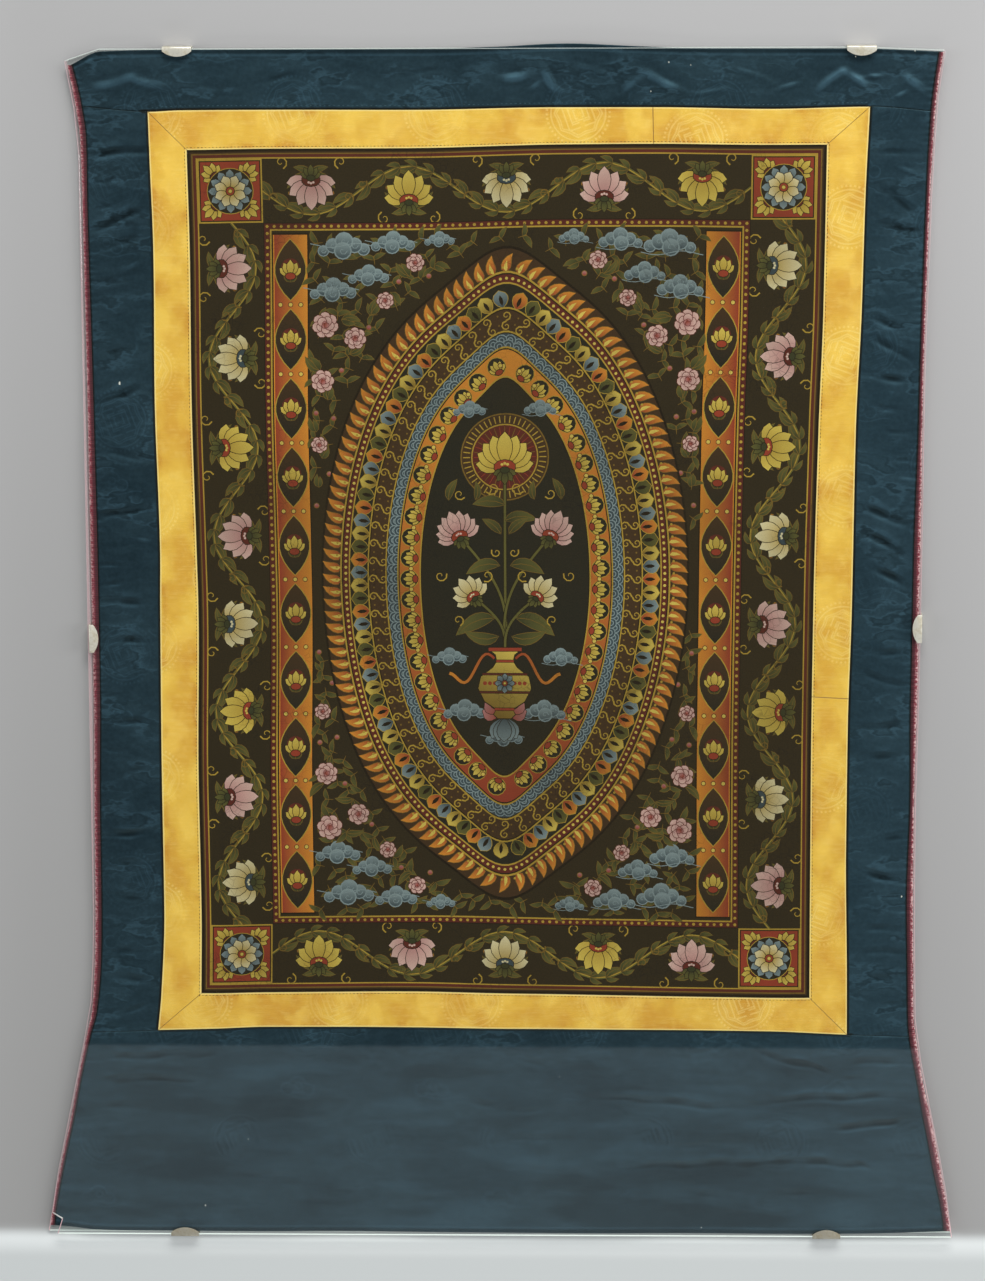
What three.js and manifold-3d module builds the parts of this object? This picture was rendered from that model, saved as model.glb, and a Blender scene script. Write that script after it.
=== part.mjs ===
// A painted cloth scroll with a yellow silk border and a dark blue satin surround, pressed between two
// clear sheets that six spring clips hold together. It lies on its back: +X is the scroll's right,
// +Y its head and +Z the way the painting faces. Millimetres.
//
// Every piece of cloth is cut from one set of edge curves and shares one relief, so neighbouring pieces
// follow the same folds and stay a seam's width apart.

import * as THREE from 'three';
import { mergeVertices } from 'three/addons/utils/BufferGeometryUtils.js';
import Module from 'manifold-3d';

const wasm = await Module();
wasm.setup();

// ---------------------------------------------------------------- driving dimensions

const SHEET_THICK = 2.0; // each clear sheet
const CLOTH_ROOM = 5.4; // space between the two sheets
const CLOTH_THICK = 1.2;
const BINDING_THICK = 1.8;
const SEAT = 0.3; // clearance between a clip and the sheet that it grips
const SEAM_HALF = 0.24; // half of the gap along a seam
const CLOTH_INSET = 0.9; // the sheets stand this far past the binding
const RELIEF_LIMIT = 1.8; // where a fold is pressed flat against a sheet

const CLIP_WIDTH = 21.5;
const CLIP_REACH = 7.2; // from the outside of the bend to the tip of the half-round tab
const CLIP_SHOULDER = 3.4; // depth of the tab at its two ends
const CLIP_METAL = 0.8;
const CLIP_BEND = CLIP_METAL + SEAT; // outside radius of the bend, which keeps clear of the sheets' corners
const CLIP_PLACES = [
  { name: 'clip_top_left', edge: 'head', at: -233.4 },
  { name: 'clip_top_right', edge: 'head', at: 266.2 },
  { name: 'clip_left', edge: 'left', at: 474.7 },
  { name: 'clip_right', edge: 'right', at: 483.9 },
  { name: 'clip_bottom_left', edge: 'foot', at: -243.8 },
  { name: 'clip_bottom_right', edge: 'foot', at: 253.5 },
]; // at: x along the head or foot, height up a side edge

// Heights above the surface that the clips' rear tabs rest on.
const BACK_SHEET_Z = CLIP_METAL + SEAT;
const CLOTH_MID_Z = BACK_SHEET_Z + SHEET_THICK + CLOTH_ROOM / 2;
const FRONT_SHEET_Z = BACK_SHEET_Z + SHEET_THICK + CLOTH_ROOM;
const CLIP_TOP_Z = FRONT_SHEET_Z + SHEET_THICK + SEAT + CLIP_METAL;

// Outline of the clear sheets: x of the left and right edges at a height up from the foot, with the
// width of the red binding that shows there.
const SIDES = [
  { up: 0, left: -351.3, right: 350.8, bindLeft: 3.2, bindRight: 4.2 },
  { up: 20, left: -348.2, right: 348.6, bindLeft: 2.2, bindRight: 4.4 },
  { up: 62, left: -339.6, right: 341.1, bindLeft: 2.0, bindRight: 5.6 },
  { up: 95, left: -332.1, right: 334.5, bindLeft: 2.0, bindRight: 5.6 },
  { up: 127, left: -325.7, right: 327.3, bindLeft: 2.0, bindRight: 4.4 },
  { up: 162, left: -318.2, right: 321.4, bindLeft: 2.6, bindRight: 5.0 },
  { up: 181, left: -314.1, right: 319.0, bindLeft: 3.6, bindRight: 4.2 },
  { up: 223, left: -310.9, right: 318.0, bindLeft: 4.6, bindRight: 4.4 },
  { up: 270, left: -309.4, right: 316.8, bindLeft: 4.4, bindRight: 4.6 },
  { up: 350, left: -308.2, right: 316.2, bindLeft: 4.0, bindRight: 2.6 },
  { up: 428, left: -306.9, right: 317.0, bindLeft: 4.6, bindRight: 4.6 },
  { up: 535, left: -306.7, right: 317.2, bindLeft: 5.0, bindRight: 4.6 },
  { up: 655, left: -306.5, right: 316.9, bindLeft: 4.2, bindRight: 2.4 },
  { up: 800, left: -306.7, right: 319.1, bindLeft: 3.4, bindRight: 2.4 },
  { up: 850, left: -307.4, right: 320.9, bindLeft: 4.2, bindRight: 2.8 },
  { up: 873, left: -310.1, right: 322.1, bindLeft: 4.2, bindRight: 2.8 },
  { up: 914, left: -317.4, right: 327.0, bindLeft: 2.4, bindRight: 2.8 },
];

// The head of the clear sheets, left to right; the left corner is cut off.
const SHEET_HEAD = [
  { x: -291.2, up: 915.0 },
  { x: -233.0, up: 915.7 },
  { x: 52.0, up: 916.1 },
  { x: 265.0, up: 916.1 },
  { x: 295.0, up: 915.2 },
];
const CUT_CORNER_UP = 906.6; // where the cut meets the left edge
const HEAD_RIGHT_UP = 913.8;
const BACK_FOOT = { left: 1.0, right: 4.2 }; // height of each end of the back sheet's foot
const FRONT_FOOT = { left: 1.2, right: 2.7 };
const CHIP = [
  { x: -347.2, up: 18.4 },
  { x: -339.5, up: 13.5 },
  { x: -343.4, up: 1.2 },
]; // the front sheet's broken lower left corner, from the side edge to the foot

// The satin's hems. The head hem rises past the sheets in the middle.
const HEAD_HEM = [
  { x: -312.0, up: 903.4 },
  { x: -289.6, up: 913.2 },
  { x: -230.0, up: 914.5 },
  { x: -60.0, up: 914.8 },
  { x: -2.0, up: 916.2 },
  { x: 52.0, up: 918.6 },
  { x: 104.0, up: 916.6 },
  { x: 150.0, up: 914.9 },
  { x: 265.0, up: 914.6 },
  { x: 323.5, up: 912.6 },
];
const HEAD_HEM_ENDS = { left: 903.4, right: 912.6 };
const FOOT_HEM = [
  { x: -347.0, up: 6.6 },
  { x: -332.0, up: 5.6 },
  { x: -314.0, up: 3.6 },
  { x: -280.0, up: 3.0 },
  { x: 200.0, up: 3.4 },
  { x: 275.0, up: 4.0 },
  { x: 345.0, up: 6.8 },
];
const FOOT_HEM_ENDS = { left: 6.7, right: 6.7 };
const HEM_CORNER = 24; // power with which a hem turns to the height of its end: higher is a shorter turn

// The yellow border. Outer columns reach across the satin's own seams to its side edges.
const BORDER_TOP = [
  { x: -306.0, outer: 873.2, inner: 841.0 },
  { x: -256.2, outer: 869.4, inner: 841.0 },
  { x: -232.0, outer: 870.5, inner: 841.0 },
  { x: -173.0, outer: 870.8, inner: 841.8 },
  { x: -63.0, outer: 870.6, inner: 842.2 },
  { x: 47.0, outer: 872.6, inner: 845.0 },
  { x: 120.0, outer: 872.5, inner: 845.4 },
  { x: 200.0, outer: 871.2, inner: 844.6 },
  { x: 273.4, outer: 872.8, inner: 844.8 },
  { x: 318.0, outer: 869.4, inner: 844.8 },
];
const BORDER_BOTTOM = [
  { x: -315.0, outer: 164.0, inner: 196.0 },
  { x: -262.4, outer: 165.6, inner: 196.0 },
  { x: -218.0, outer: 166.8, inner: 195.8 },
  { x: -179.0, outer: 168.6, inner: 196.8 },
  { x: -64.0, outer: 169.2, inner: 198.2 },
  { x: 13.0, outer: 168.1, inner: 196.9 },
  { x: 90.0, outer: 167.7, inner: 195.6 },
  { x: 205.0, outer: 167.5, inner: 194.6 },
  { x: 267.3, outer: 165.0, inner: 195.2 },
  { x: 316.0, outer: 163.6, inner: 195.2 },
];
const BORDER_LEFT = [
  { up: 165.6, outer: -262.4, inner: -228.4 },
  { up: 196.0, outer: -259.2, inner: -227.8 },
  { up: 261.0, outer: -255.8, inner: -226.6 },
  { up: 356.0, outer: -255.5, inner: -227.0 },
  { up: 496.0, outer: -254.3, inner: -224.9 },
  { up: 542.0, outer: -253.5, inner: -225.5 },
  { up: 656.0, outer: -255.3, inner: -227.2 },
  { up: 768.0, outer: -254.1, inner: -226.6 },
  { up: 841.0, outer: -255.6, inner: -227.4 },
  { up: 869.4, outer: -256.2, inner: -227.6 },
];
const BORDER_RIGHT = [
  { up: 165.0, outer: 267.3, inner: 238.0 },
  { up: 216.0, outer: 266.5, inner: 237.5 },
  { up: 311.0, outer: 264.5, inner: 236.9 },
  { up: 404.0, outer: 264.3, inner: 236.4 },
  { up: 497.0, outer: 265.9, inner: 236.6 },
  { up: 634.0, outer: 266.7, inner: 238.5 },
  { up: 723.0, outer: 269.7, inner: 240.9 },
  { up: 812.0, outer: 271.2, inner: 241.6 },
  { up: 872.8, outer: 273.4, inner: 242.0 },
];
const TOP_JOIN_X = { outer: 114.5, inner: 115.2 }; // where the two lengths of the top strip meet
const RIGHT_JOIN_UP = { outer: 429.0, inner: 430.4 }; // where the two lengths of the right strip meet

// The main folds of the cloth: soft troughs (rise below 0) and ridges, each a line through x, up that
// runs this far either way, turned from +X by so many degrees.
const FOLD_WIDTH = 5.5; // from a fold's line to where it has faded by two thirds
const FOLDS = [
  // left satin strip: short level puckers
  { x: -278, up: 839, run: 22, turn: 6, rise: -1.5 },
  { x: -279, up: 790, run: 18, turn: 21, rise: -1.6 },
  { x: -278, up: 772, run: 16, turn: 14, rise: -1.0 },
  { x: -282, up: 745, run: 14, turn: 13, rise: -0.9 },
  { x: -280, up: 694, run: 15, turn: 11, rise: -1.0 },
  { x: -282, up: 659, run: 19, turn: 22, rise: -1.4 },
  { x: -276, up: 614, run: 14, turn: -9, rise: -1.2 },
  { x: -283, up: 570, run: 17, turn: 13, rise: -1.4 },
  { x: -283, up: 502, run: 18, turn: 1, rise: -1.3 },
  { x: -278, up: 472, run: 16, turn: -1, rise: -1.2 },
  { x: -279, up: 409, run: 16, turn: -3, rise: -1.1 },
  { x: -280, up: 370, run: 14, turn: 18, rise: -1.0 },
  { x: -282, up: 322, run: 16, turn: 9, rise: -1.4 },
  { x: -279, up: 298, run: 14, turn: -8, rise: -0.9 },
  { x: -283, up: 271, run: 17, turn: -1, rise: -1.1 },
  { x: -283, up: 229, run: 16, turn: 3, rise: -1.0 },
  { x: -283, up: 207, run: 15, turn: -3, rise: -1.2 },
  // right satin strip: longer puckers that slant down to the right
  { x: 295, up: 804, run: 18, turn: -33, rise: -1.4 },
  { x: 297, up: 785, run: 17, turn: -13, rise: -1.6 },
  { x: 290, up: 713, run: 14, turn: -20, rise: -1.2 },
  { x: 292, up: 695, run: 18, turn: -34, rise: -1.3 },
  { x: 290, up: 673, run: 19, turn: -7, rise: -1.3 },
  { x: 289, up: 569, run: 19, turn: -19, rise: -1.7 },
  { x: 287, up: 549, run: 20, turn: -31, rise: -1.7 },
  { x: 293, up: 523, run: 16, turn: -31, rise: -1.6 },
  { x: 291, up: 465, run: 16, turn: -3, rise: -1.0 },
  { x: 290, up: 444, run: 18, turn: -16, rise: -1.1 },
  { x: 290, up: 408, run: 18, turn: 8, rise: -1.1 },
  { x: 291, up: 385, run: 18, turn: 1, rise: -1.1 },
  { x: 298, up: 321, run: 14, turn: 4, rise: -1.0 },
  { x: 291, up: 291, run: 20, turn: -16, rise: -1.5 },
  { x: 294, up: 249, run: 14, turn: -2, rise: -1.1 },
  { x: 294, up: 231, run: 17, turn: -1, rise: -1.0 },
  { x: 296, up: 211, run: 14, turn: 7, rise: -1.0 },
  // head of the satin: zigzag ridges
  { x: -281, up: 890, run: 16, turn: 14, rise: 1.2 },
  { x: -256, up: 890, run: 12, turn: -13, rise: 1.2 },
  { x: 14, up: 894, run: 12, turn: 9, rise: 1.4 },
  { x: 38, up: 893, run: 12, turn: -54, rise: 1.6 },
  { x: 100, up: 890, run: 9, turn: 45, rise: 1.4 },
  { x: 120, up: 891, run: 13, turn: -24, rise: 1.5 },
  { x: 244, up: 891, run: 12, turn: 40, rise: 1.7 },
  { x: 262, up: 892, run: 11, turn: -34, rise: 1.6 },
  { x: 305, up: 889, run: 10, turn: -44, rise: 1.4 },
  // skirt: long level folds, more of them on the right
  { x: -268, up: 145, run: 46, turn: 3, rise: -1.3 },
  { x: -272, up: 126, run: 36, turn: 2, rise: -1.1 },
  { x: -291, up: 104, run: 20, turn: -5, rise: -0.9 },
  { x: -12, up: 108, run: 17, turn: -6, rise: -0.9 },
  { x: 32, up: 141, run: 18, turn: -6, rise: -0.9 },
  { x: 137, up: 109, run: 46, turn: -5, rise: -1.3 },
  { x: 258, up: 114, run: 58, turn: 2, rise: -1.5 },
  { x: 222, up: 144, run: 27, turn: -17, rise: -1.5 },
  { x: 288, up: 143, run: 21, turn: 3, rise: -1.3 },
  { x: 280, up: 92, run: 34, turn: 6, rise: -1.5 },
  { x: 25, up: 80, run: 24, turn: 3, rise: -0.8 },
  { x: 175, up: 60, run: 70, turn: 2, rise: -1.5 },
  { x: 258, up: 61, run: 30, turn: -4, rise: -1.2 },
  { x: 164, up: 35, run: 17, turn: -1, rise: -1.0 },
  { x: 229, up: 37, run: 14, turn: -4, rise: -1.0 },
];
// Slow swells of the whole cloth between the sheets.
const SWELLS = [
  { height: 0.6, across: 330, along: 460, shift: 0.6 },
  { height: 0.45, across: -240, along: 215, shift: 2.1 },
  { height: 0.3, across: 130, along: -150, shift: 4.0 },
];

// How finely each body is stepped.
const PAINTING_STEPS = { across: 13, along: 18 };
const BORDER_STEPS = { across: 2, along: 26 };
const STRIP_STEPS = { across: 3, along: 84 };
const HEAD_STEPS = { across: 62, along: 4 };
const SKIRT_STEPS = { across: 30, along: 17 };
const BINDING_STEPS = 56;
const SHEET_SIDE_STEPS = 26;
const CLIP_ARC_STEPS = 10;
const CLIP_BEND_STEPS = 3;
const MEET_ROUNDS = 6; // rounds in which the crossing of two edge curves settles

// How much thicker the binding is than the satin, to either side.
const BINDING_LIFT = (BINDING_THICK - CLOTH_THICK) / 2;
// The binding's section, counterclockwise: shares of its half width and of its half height.
const BINDING_SECTION = [
  [1, -0.35],
  [1, 0.35],
  [0.55, 1],
  [-0.55, 1],
  [-1, 0.35],
  [-1, -0.35],
  [-0.55, -1],
  [0.55, -1],
];

const YELLOW = 0xe2b343;
const SATIN = 0x22404d;
const RED = 0x7d2f3c;
const PAINT = 0x3b2c22;
const STEEL = 0xcfcab8;
const CLEAR = 0xdfe9e4;
const CLEAR_OPACITY = 0.25;
// Roughness of each finish.
const SILK_ROUGH = 0.5;
const SATIN_ROUGH = 0.4;
const COTTON_ROUGH = 0.7;
const STEEL_ROUGH = 0.35;
const CLEAR_ROUGH = 0.05;
const STEEL_METALNESS = 0.8;

// ---------------------------------------------------------------- curves

const lerp = (from, to, share) => from + (to - from) * share;

// A smooth curve through one column of a table that doesn't swing past its rows.
function column(rows, key, by) {
  const at = rows.map((row) => row[by]);
  const value = rows.map((row) => row[key]);
  const rate = at.slice(1).map((end, i) => (value[i + 1] - value[i]) / (end - at[i]));
  const slope = at.map((_, i) => {
    if (i === 0) return rate[0];
    if (i === at.length - 1) return rate[i - 1];
    const product = rate[i - 1] * rate[i];
    return product > 0 ? (2 * product) / (rate[i - 1] + rate[i]) : 0;
  });
  return (place) => {
    let i = 0;
    while (i < at.length - 2 && place > at[i + 1]) i += 1;
    const span = at[i + 1] - at[i];
    const t = (place - at[i]) / span;
    const back = 1 - t;
    return (
      value[i] * (1 + 2 * t) * back * back +
      value[i + 1] * (3 - 2 * t) * t * t +
      span * t * back * (slope[i] * back - slope[i + 1] * t)
    );
  };
}

const sheetLeft = column(SIDES, 'left', 'up');
const sheetRight = column(SIDES, 'right', 'up');
const bindLeft = column(SIDES, 'bindLeft', 'up');
const bindRight = column(SIDES, 'bindRight', 'up');
const borderTopOuter = column(BORDER_TOP, 'outer', 'x');
const borderTopInner = column(BORDER_TOP, 'inner', 'x');
const borderBottomOuter = column(BORDER_BOTTOM, 'outer', 'x');
const borderBottomInner = column(BORDER_BOTTOM, 'inner', 'x');
const borderLeftOuter = column(BORDER_LEFT, 'outer', 'up');
const borderLeftInner = column(BORDER_LEFT, 'inner', 'up');
const borderRightOuter = column(BORDER_RIGHT, 'outer', 'up');
const borderRightInner = column(BORDER_RIGHT, 'inner', 'up');
const headHem = column(HEAD_HEM, 'up', 'x');
const footHem = column(FOOT_HEM, 'up', 'x');

// Outer and inner edge of the binding; the satin ends at the inner one.
const bindingOuterLeft = (up) => sheetLeft(up) + CLOTH_INSET;
const bindingOuterRight = (up) => sheetRight(up) - CLOTH_INSET;
const satinLeft = (up) => bindingOuterLeft(up) + bindLeft(up);
const satinRight = (up) => bindingOuterRight(up) - bindRight(up);

// Height of the cloth's middle surface above or below its mean level.
function relief(x, up) {
  let height = 0;
  for (const swell of SWELLS) {
    height += swell.height * Math.sin((x / swell.across + up / swell.along) * Math.PI * 2 + swell.shift);
  }
  for (const fold of FOLDS) {
    const turn = THREE.MathUtils.degToRad(fold.turn);
    const along = (x - fold.x) * Math.cos(turn) + (up - fold.up) * Math.sin(turn);
    const across = (up - fold.up) * Math.cos(turn) - (x - fold.x) * Math.sin(turn);
    height += fold.rise * Math.exp(-((along / fold.run) ** 2) - (across / FOLD_WIDTH) ** 2);
  }
  return THREE.MathUtils.clamp(height, -RELIEF_LIMIT, RELIEF_LIMIT);
}

// ---------------------------------------------------------------- solids

// A closed body from a loop in XZ, counterclockwise seen from -Y, carried towards +Y through rings.
function ringBody(rings) {
  const size = rings[0].length;
  const vertices = rings.flat(2);
  const faces = [];
  for (let r = 0; r + 1 < rings.length; r += 1) {
    for (let i = 0; i < size; i += 1) {
      const here = r * size + i;
      const next = r * size + ((i + 1) % size);
      faces.push(here, here + size, next, next, here + size, next + size);
    }
  }
  const last = (rings.length - 1) * size;
  for (let i = 1; i + 1 < size; i += 1) {
    faces.push(0, i, i + 1, last, last + i + 1, last + i);
  }
  return bodyOf(vertices, faces);
}

function bodyOf(vertices, faces) {
  const geometry = new THREE.BufferGeometry();
  geometry.setAttribute('position', new THREE.Float32BufferAttribute(vertices, 3));
  geometry.setIndex(faces);
  geometry.computeVertexNormals();
  return geometry;
}

// A piece of cloth of even thickness: place(u, v) gives its x and up, u and v from 0 to 1.
function clothBody(place, steps, thick = CLOTH_THICK) {
  const columns = steps.across + 1;
  const rows = steps.along + 1;
  const vertices = [];
  for (const side of [-1, 1]) {
    for (let j = 0; j < rows; j += 1) {
      for (let i = 0; i < columns; i += 1) {
        const [x, up] = place(i / steps.across, j / steps.along);
        vertices.push(x, up, CLOTH_MID_Z + relief(x, up) + (side * thick) / 2);
      }
    }
  }
  const layer = columns * rows;
  const faces = [];
  for (let j = 0; j < steps.along; j += 1) {
    for (let i = 0; i < steps.across; i += 1) {
      const a = j * columns + i;
      const b = a + 1;
      const c = a + columns;
      const d = c + 1;
      faces.push(a, c, b, b, c, d);
      faces.push(layer + a, layer + b, layer + c, layer + b, layer + d, layer + c);
    }
  }
  const rim = [];
  for (let i = 0; i < steps.across; i += 1) rim.push(i);
  for (let j = 0; j < steps.along; j += 1) rim.push(j * columns + steps.across);
  for (let i = steps.across; i > 0; i -= 1) rim.push(steps.along * columns + i);
  for (let j = steps.along; j > 0; j -= 1) rim.push(j * columns);
  rim.forEach((here, k) => {
    const next = rim[(k + 1) % rim.length];
    faces.push(here, next, layer + here, next, layer + next, layer + here);
  });
  return bodyOf(vertices, faces);
}

// A patch between four edge curves that meet at its corners, drawn in by half a seam on every side.
function patch({ left, right, foot, head }) {
  const bare = (u, v) =>
    [0, 1].map((k) => {
      const edges = lerp(foot(u)[k], head(u)[k], v) + lerp(left(v)[k], right(v)[k], u);
      const corners = lerp(lerp(foot(0)[k], foot(1)[k], u), lerp(head(0)[k], head(1)[k], u), v);
      return edges - corners;
    });
  const length = (from, to) => Math.hypot(to[0] - from[0], to[1] - from[1]);
  return (u, v) => {
    const trimU = SEAM_HALF / length(bare(0, v), bare(1, v));
    const trimV = SEAM_HALF / length(bare(u, 0), bare(u, 1));
    return bare(lerp(trimU, 1 - trimU, u), lerp(trimV, 1 - trimV, v));
  };
}

const between = (from, to) => (t) => [lerp(from[0], to[0], t), lerp(from[1], to[1], t)];
const levelCurve = (curve, from, to) => (t) => [lerp(from, to, t), curve(lerp(from, to, t))];
const uprightCurve = (curve, from, to) => (t) => [curve(lerp(from, to, t)), lerp(from, to, t)];

// A hem between the satin's side edges, pinned to the height of its two ends.
function hemCurve(curve, ends) {
  const from = satinLeft(ends.left);
  const to = satinRight(ends.right);
  const offLeft = ends.left - curve(from);
  const offRight = ends.right - curve(to);
  return (t) => {
    const x = lerp(from, to, t);
    return [x, curve(x) + offLeft * (1 - t) ** HEM_CORNER + offRight * t ** HEM_CORNER];
  };
}

// Where an upright edge curve and a level one cross, starting from a height near the crossing.
function meet(upright, level, nearUp) {
  let up = nearUp;
  for (let k = 0; k < MEET_ROUNDS; k += 1) up = level(upright(up));
  return [upright(up), up];
}

const BORDER_FOOT_UP = BORDER_LEFT[0].up;
const BORDER_HEAD_UP = BORDER_LEFT[BORDER_LEFT.length - 1].up;
const PAINTING_FOOT_UP = BORDER_BOTTOM[0].inner;
const PAINTING_HEAD_UP = BORDER_TOP[0].inner;
const OUTER = {
  footLeft: meet(borderLeftOuter, borderBottomOuter, BORDER_FOOT_UP),
  footRight: meet(borderRightOuter, borderBottomOuter, BORDER_FOOT_UP),
  headLeft: meet(borderLeftOuter, borderTopOuter, BORDER_HEAD_UP),
  headRight: meet(borderRightOuter, borderTopOuter, BORDER_HEAD_UP),
};
const INNER = {
  footLeft: meet(borderLeftInner, borderBottomInner, PAINTING_FOOT_UP),
  footRight: meet(borderRightInner, borderBottomInner, PAINTING_FOOT_UP),
  headLeft: meet(borderLeftInner, borderTopInner, PAINTING_HEAD_UP),
  headRight: meet(borderRightInner, borderTopInner, PAINTING_HEAD_UP),
};
// Where the satin's seams reach its side edges.
const SEAM = {
  footLeft: meet(satinLeft, borderBottomOuter, BORDER_FOOT_UP),
  footRight: meet(satinRight, borderBottomOuter, BORDER_FOOT_UP),
  headLeft: meet(satinLeft, borderTopOuter, BORDER_HEAD_UP),
  headRight: meet(satinRight, borderTopOuter, BORDER_HEAD_UP),
};

// ---------------------------------------------------------------- pieces of cloth

const painting = patch({
  left: uprightCurve(borderLeftInner, INNER.footLeft[1], INNER.headLeft[1]),
  right: uprightCurve(borderRightInner, INNER.footRight[1], INNER.headRight[1]),
  foot: levelCurve(borderBottomInner, INNER.footLeft[0], INNER.footRight[0]),
  head: levelCurve(borderTopInner, INNER.headLeft[0], INNER.headRight[0]),
});

// A length of the border's upright side between four corners: across runs left to right, along runs
// upwards.
function uprightStrip(outer, inner, corners) {
  const outerUp = (t) => lerp(corners.outerFoot[1], corners.outerHead[1], t);
  const innerUp = (t) => lerp(corners.innerFoot[1], corners.innerHead[1], t);
  const outerEdge = (t) => [outer(outerUp(t)), outerUp(t)];
  const innerEdge = (t) => [inner(innerUp(t)), innerUp(t)];
  const outerIsLeft = corners.outerFoot[0] < corners.innerFoot[0];
  const left = outerIsLeft ? outerEdge : innerEdge;
  const right = outerIsLeft ? innerEdge : outerEdge;
  return patch({ left, right, foot: between(left(0), right(0)), head: between(left(1), right(1)) });
}

// A length of the border's level side, the same way.
function levelStrip(outer, inner, corners) {
  const outerX = (t) => lerp(corners.outerLeft[0], corners.outerRight[0], t);
  const innerX = (t) => lerp(corners.innerLeft[0], corners.innerRight[0], t);
  const outerEdge = (t) => [outerX(t), outer(outerX(t))];
  const innerEdge = (t) => [innerX(t), inner(innerX(t))];
  const outerIsHead = corners.outerLeft[1] > corners.innerLeft[1];
  const head = outerIsHead ? outerEdge : innerEdge;
  const foot = outerIsHead ? innerEdge : outerEdge;
  return patch({ left: between(foot(0), head(0)), right: between(foot(1), head(1)), foot, head });
}

const leftCorners = {
  outerFoot: OUTER.footLeft,
  outerHead: OUTER.headLeft,
  innerFoot: INNER.footLeft,
  innerHead: INNER.headLeft,
};
const rightCorners = {
  outerFoot: OUTER.footRight,
  outerHead: OUTER.headRight,
  innerFoot: INNER.footRight,
  innerHead: INNER.headRight,
};
const bottomCorners = {
  outerLeft: OUTER.footLeft,
  outerRight: OUTER.footRight,
  innerLeft: INNER.footLeft,
  innerRight: INNER.footRight,
};
const topCorners = {
  outerLeft: OUTER.headLeft,
  outerRight: OUTER.headRight,
  innerLeft: INNER.headLeft,
  innerRight: INNER.headRight,
};
const topJoin = {
  outer: [TOP_JOIN_X.outer, borderTopOuter(TOP_JOIN_X.outer)],
  inner: [TOP_JOIN_X.inner, borderTopInner(TOP_JOIN_X.inner)],
};
const rightJoin = {
  outer: [borderRightOuter(RIGHT_JOIN_UP.outer), RIGHT_JOIN_UP.outer],
  inner: [borderRightInner(RIGHT_JOIN_UP.inner), RIGHT_JOIN_UP.inner],
};

const borderLeft = uprightStrip(borderLeftOuter, borderLeftInner, leftCorners);
const borderRightLower = uprightStrip(borderRightOuter, borderRightInner, {
  ...rightCorners,
  outerHead: rightJoin.outer,
  innerHead: rightJoin.inner,
});
const borderRightUpper = uprightStrip(borderRightOuter, borderRightInner, {
  ...rightCorners,
  outerFoot: rightJoin.outer,
  innerFoot: rightJoin.inner,
});
const borderBottom = levelStrip(borderBottomOuter, borderBottomInner, bottomCorners);
const borderTopLeft = levelStrip(borderTopOuter, borderTopInner, {
  ...topCorners,
  outerRight: topJoin.outer,
  innerRight: topJoin.inner,
});
const borderTopRight = levelStrip(borderTopOuter, borderTopInner, {
  ...topCorners,
  outerLeft: topJoin.outer,
  innerLeft: topJoin.inner,
});

const surroundLeft = patch({
  left: uprightCurve(satinLeft, SEAM.footLeft[1], SEAM.headLeft[1]),
  right: uprightCurve(borderLeftOuter, OUTER.footLeft[1], OUTER.headLeft[1]),
  foot: levelCurve(borderBottomOuter, SEAM.footLeft[0], OUTER.footLeft[0]),
  head: levelCurve(borderTopOuter, SEAM.headLeft[0], OUTER.headLeft[0]),
});
const surroundRight = patch({
  left: uprightCurve(borderRightOuter, OUTER.footRight[1], OUTER.headRight[1]),
  right: uprightCurve(satinRight, SEAM.footRight[1], SEAM.headRight[1]),
  foot: levelCurve(borderBottomOuter, OUTER.footRight[0], SEAM.footRight[0]),
  head: levelCurve(borderTopOuter, OUTER.headRight[0], SEAM.headRight[0]),
});
const surroundTop = patch({
  left: uprightCurve(satinLeft, SEAM.headLeft[1], HEAD_HEM_ENDS.left),
  right: uprightCurve(satinRight, SEAM.headRight[1], HEAD_HEM_ENDS.right),
  foot: levelCurve(borderTopOuter, SEAM.headLeft[0], SEAM.headRight[0]),
  head: hemCurve(headHem, HEAD_HEM_ENDS),
});
const surroundBottom = patch({
  left: uprightCurve(satinLeft, FOOT_HEM_ENDS.left, SEAM.footLeft[1]),
  right: uprightCurve(satinRight, FOOT_HEM_ENDS.right, SEAM.footRight[1]),
  foot: hemCurve(footHem, FOOT_HEM_ENDS),
  head: levelCurve(borderBottomOuter, SEAM.footLeft[0], SEAM.footRight[0]),
});

// The red binding: a flattened round section carried along the satin's side edge.
function bindingBody(inner, outer, fromUp, toUp, handed) {
  const rings = [];
  for (let k = 0; k <= BINDING_STEPS; k += 1) {
    const up = lerp(fromUp, toUp, k / BINDING_STEPS);
    const innerX = inner(up) + handed * SEAM_HALF;
    const outerX = outer(up);
    const middle = (innerX + outerX) / 2;
    const half = Math.abs(outerX - innerX) / 2;
    const z = CLOTH_MID_Z + (relief(middle, up) * (RELIEF_LIMIT - BINDING_LIFT)) / RELIEF_LIMIT;
    rings.push(
      BINDING_SECTION.map(([across, high]) => [
        middle + across * half,
        up,
        z + (high * BINDING_THICK) / 2,
      ]),
    );
  }
  return ringBody(rings);
}

// ---------------------------------------------------------------- clear sheets

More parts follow.
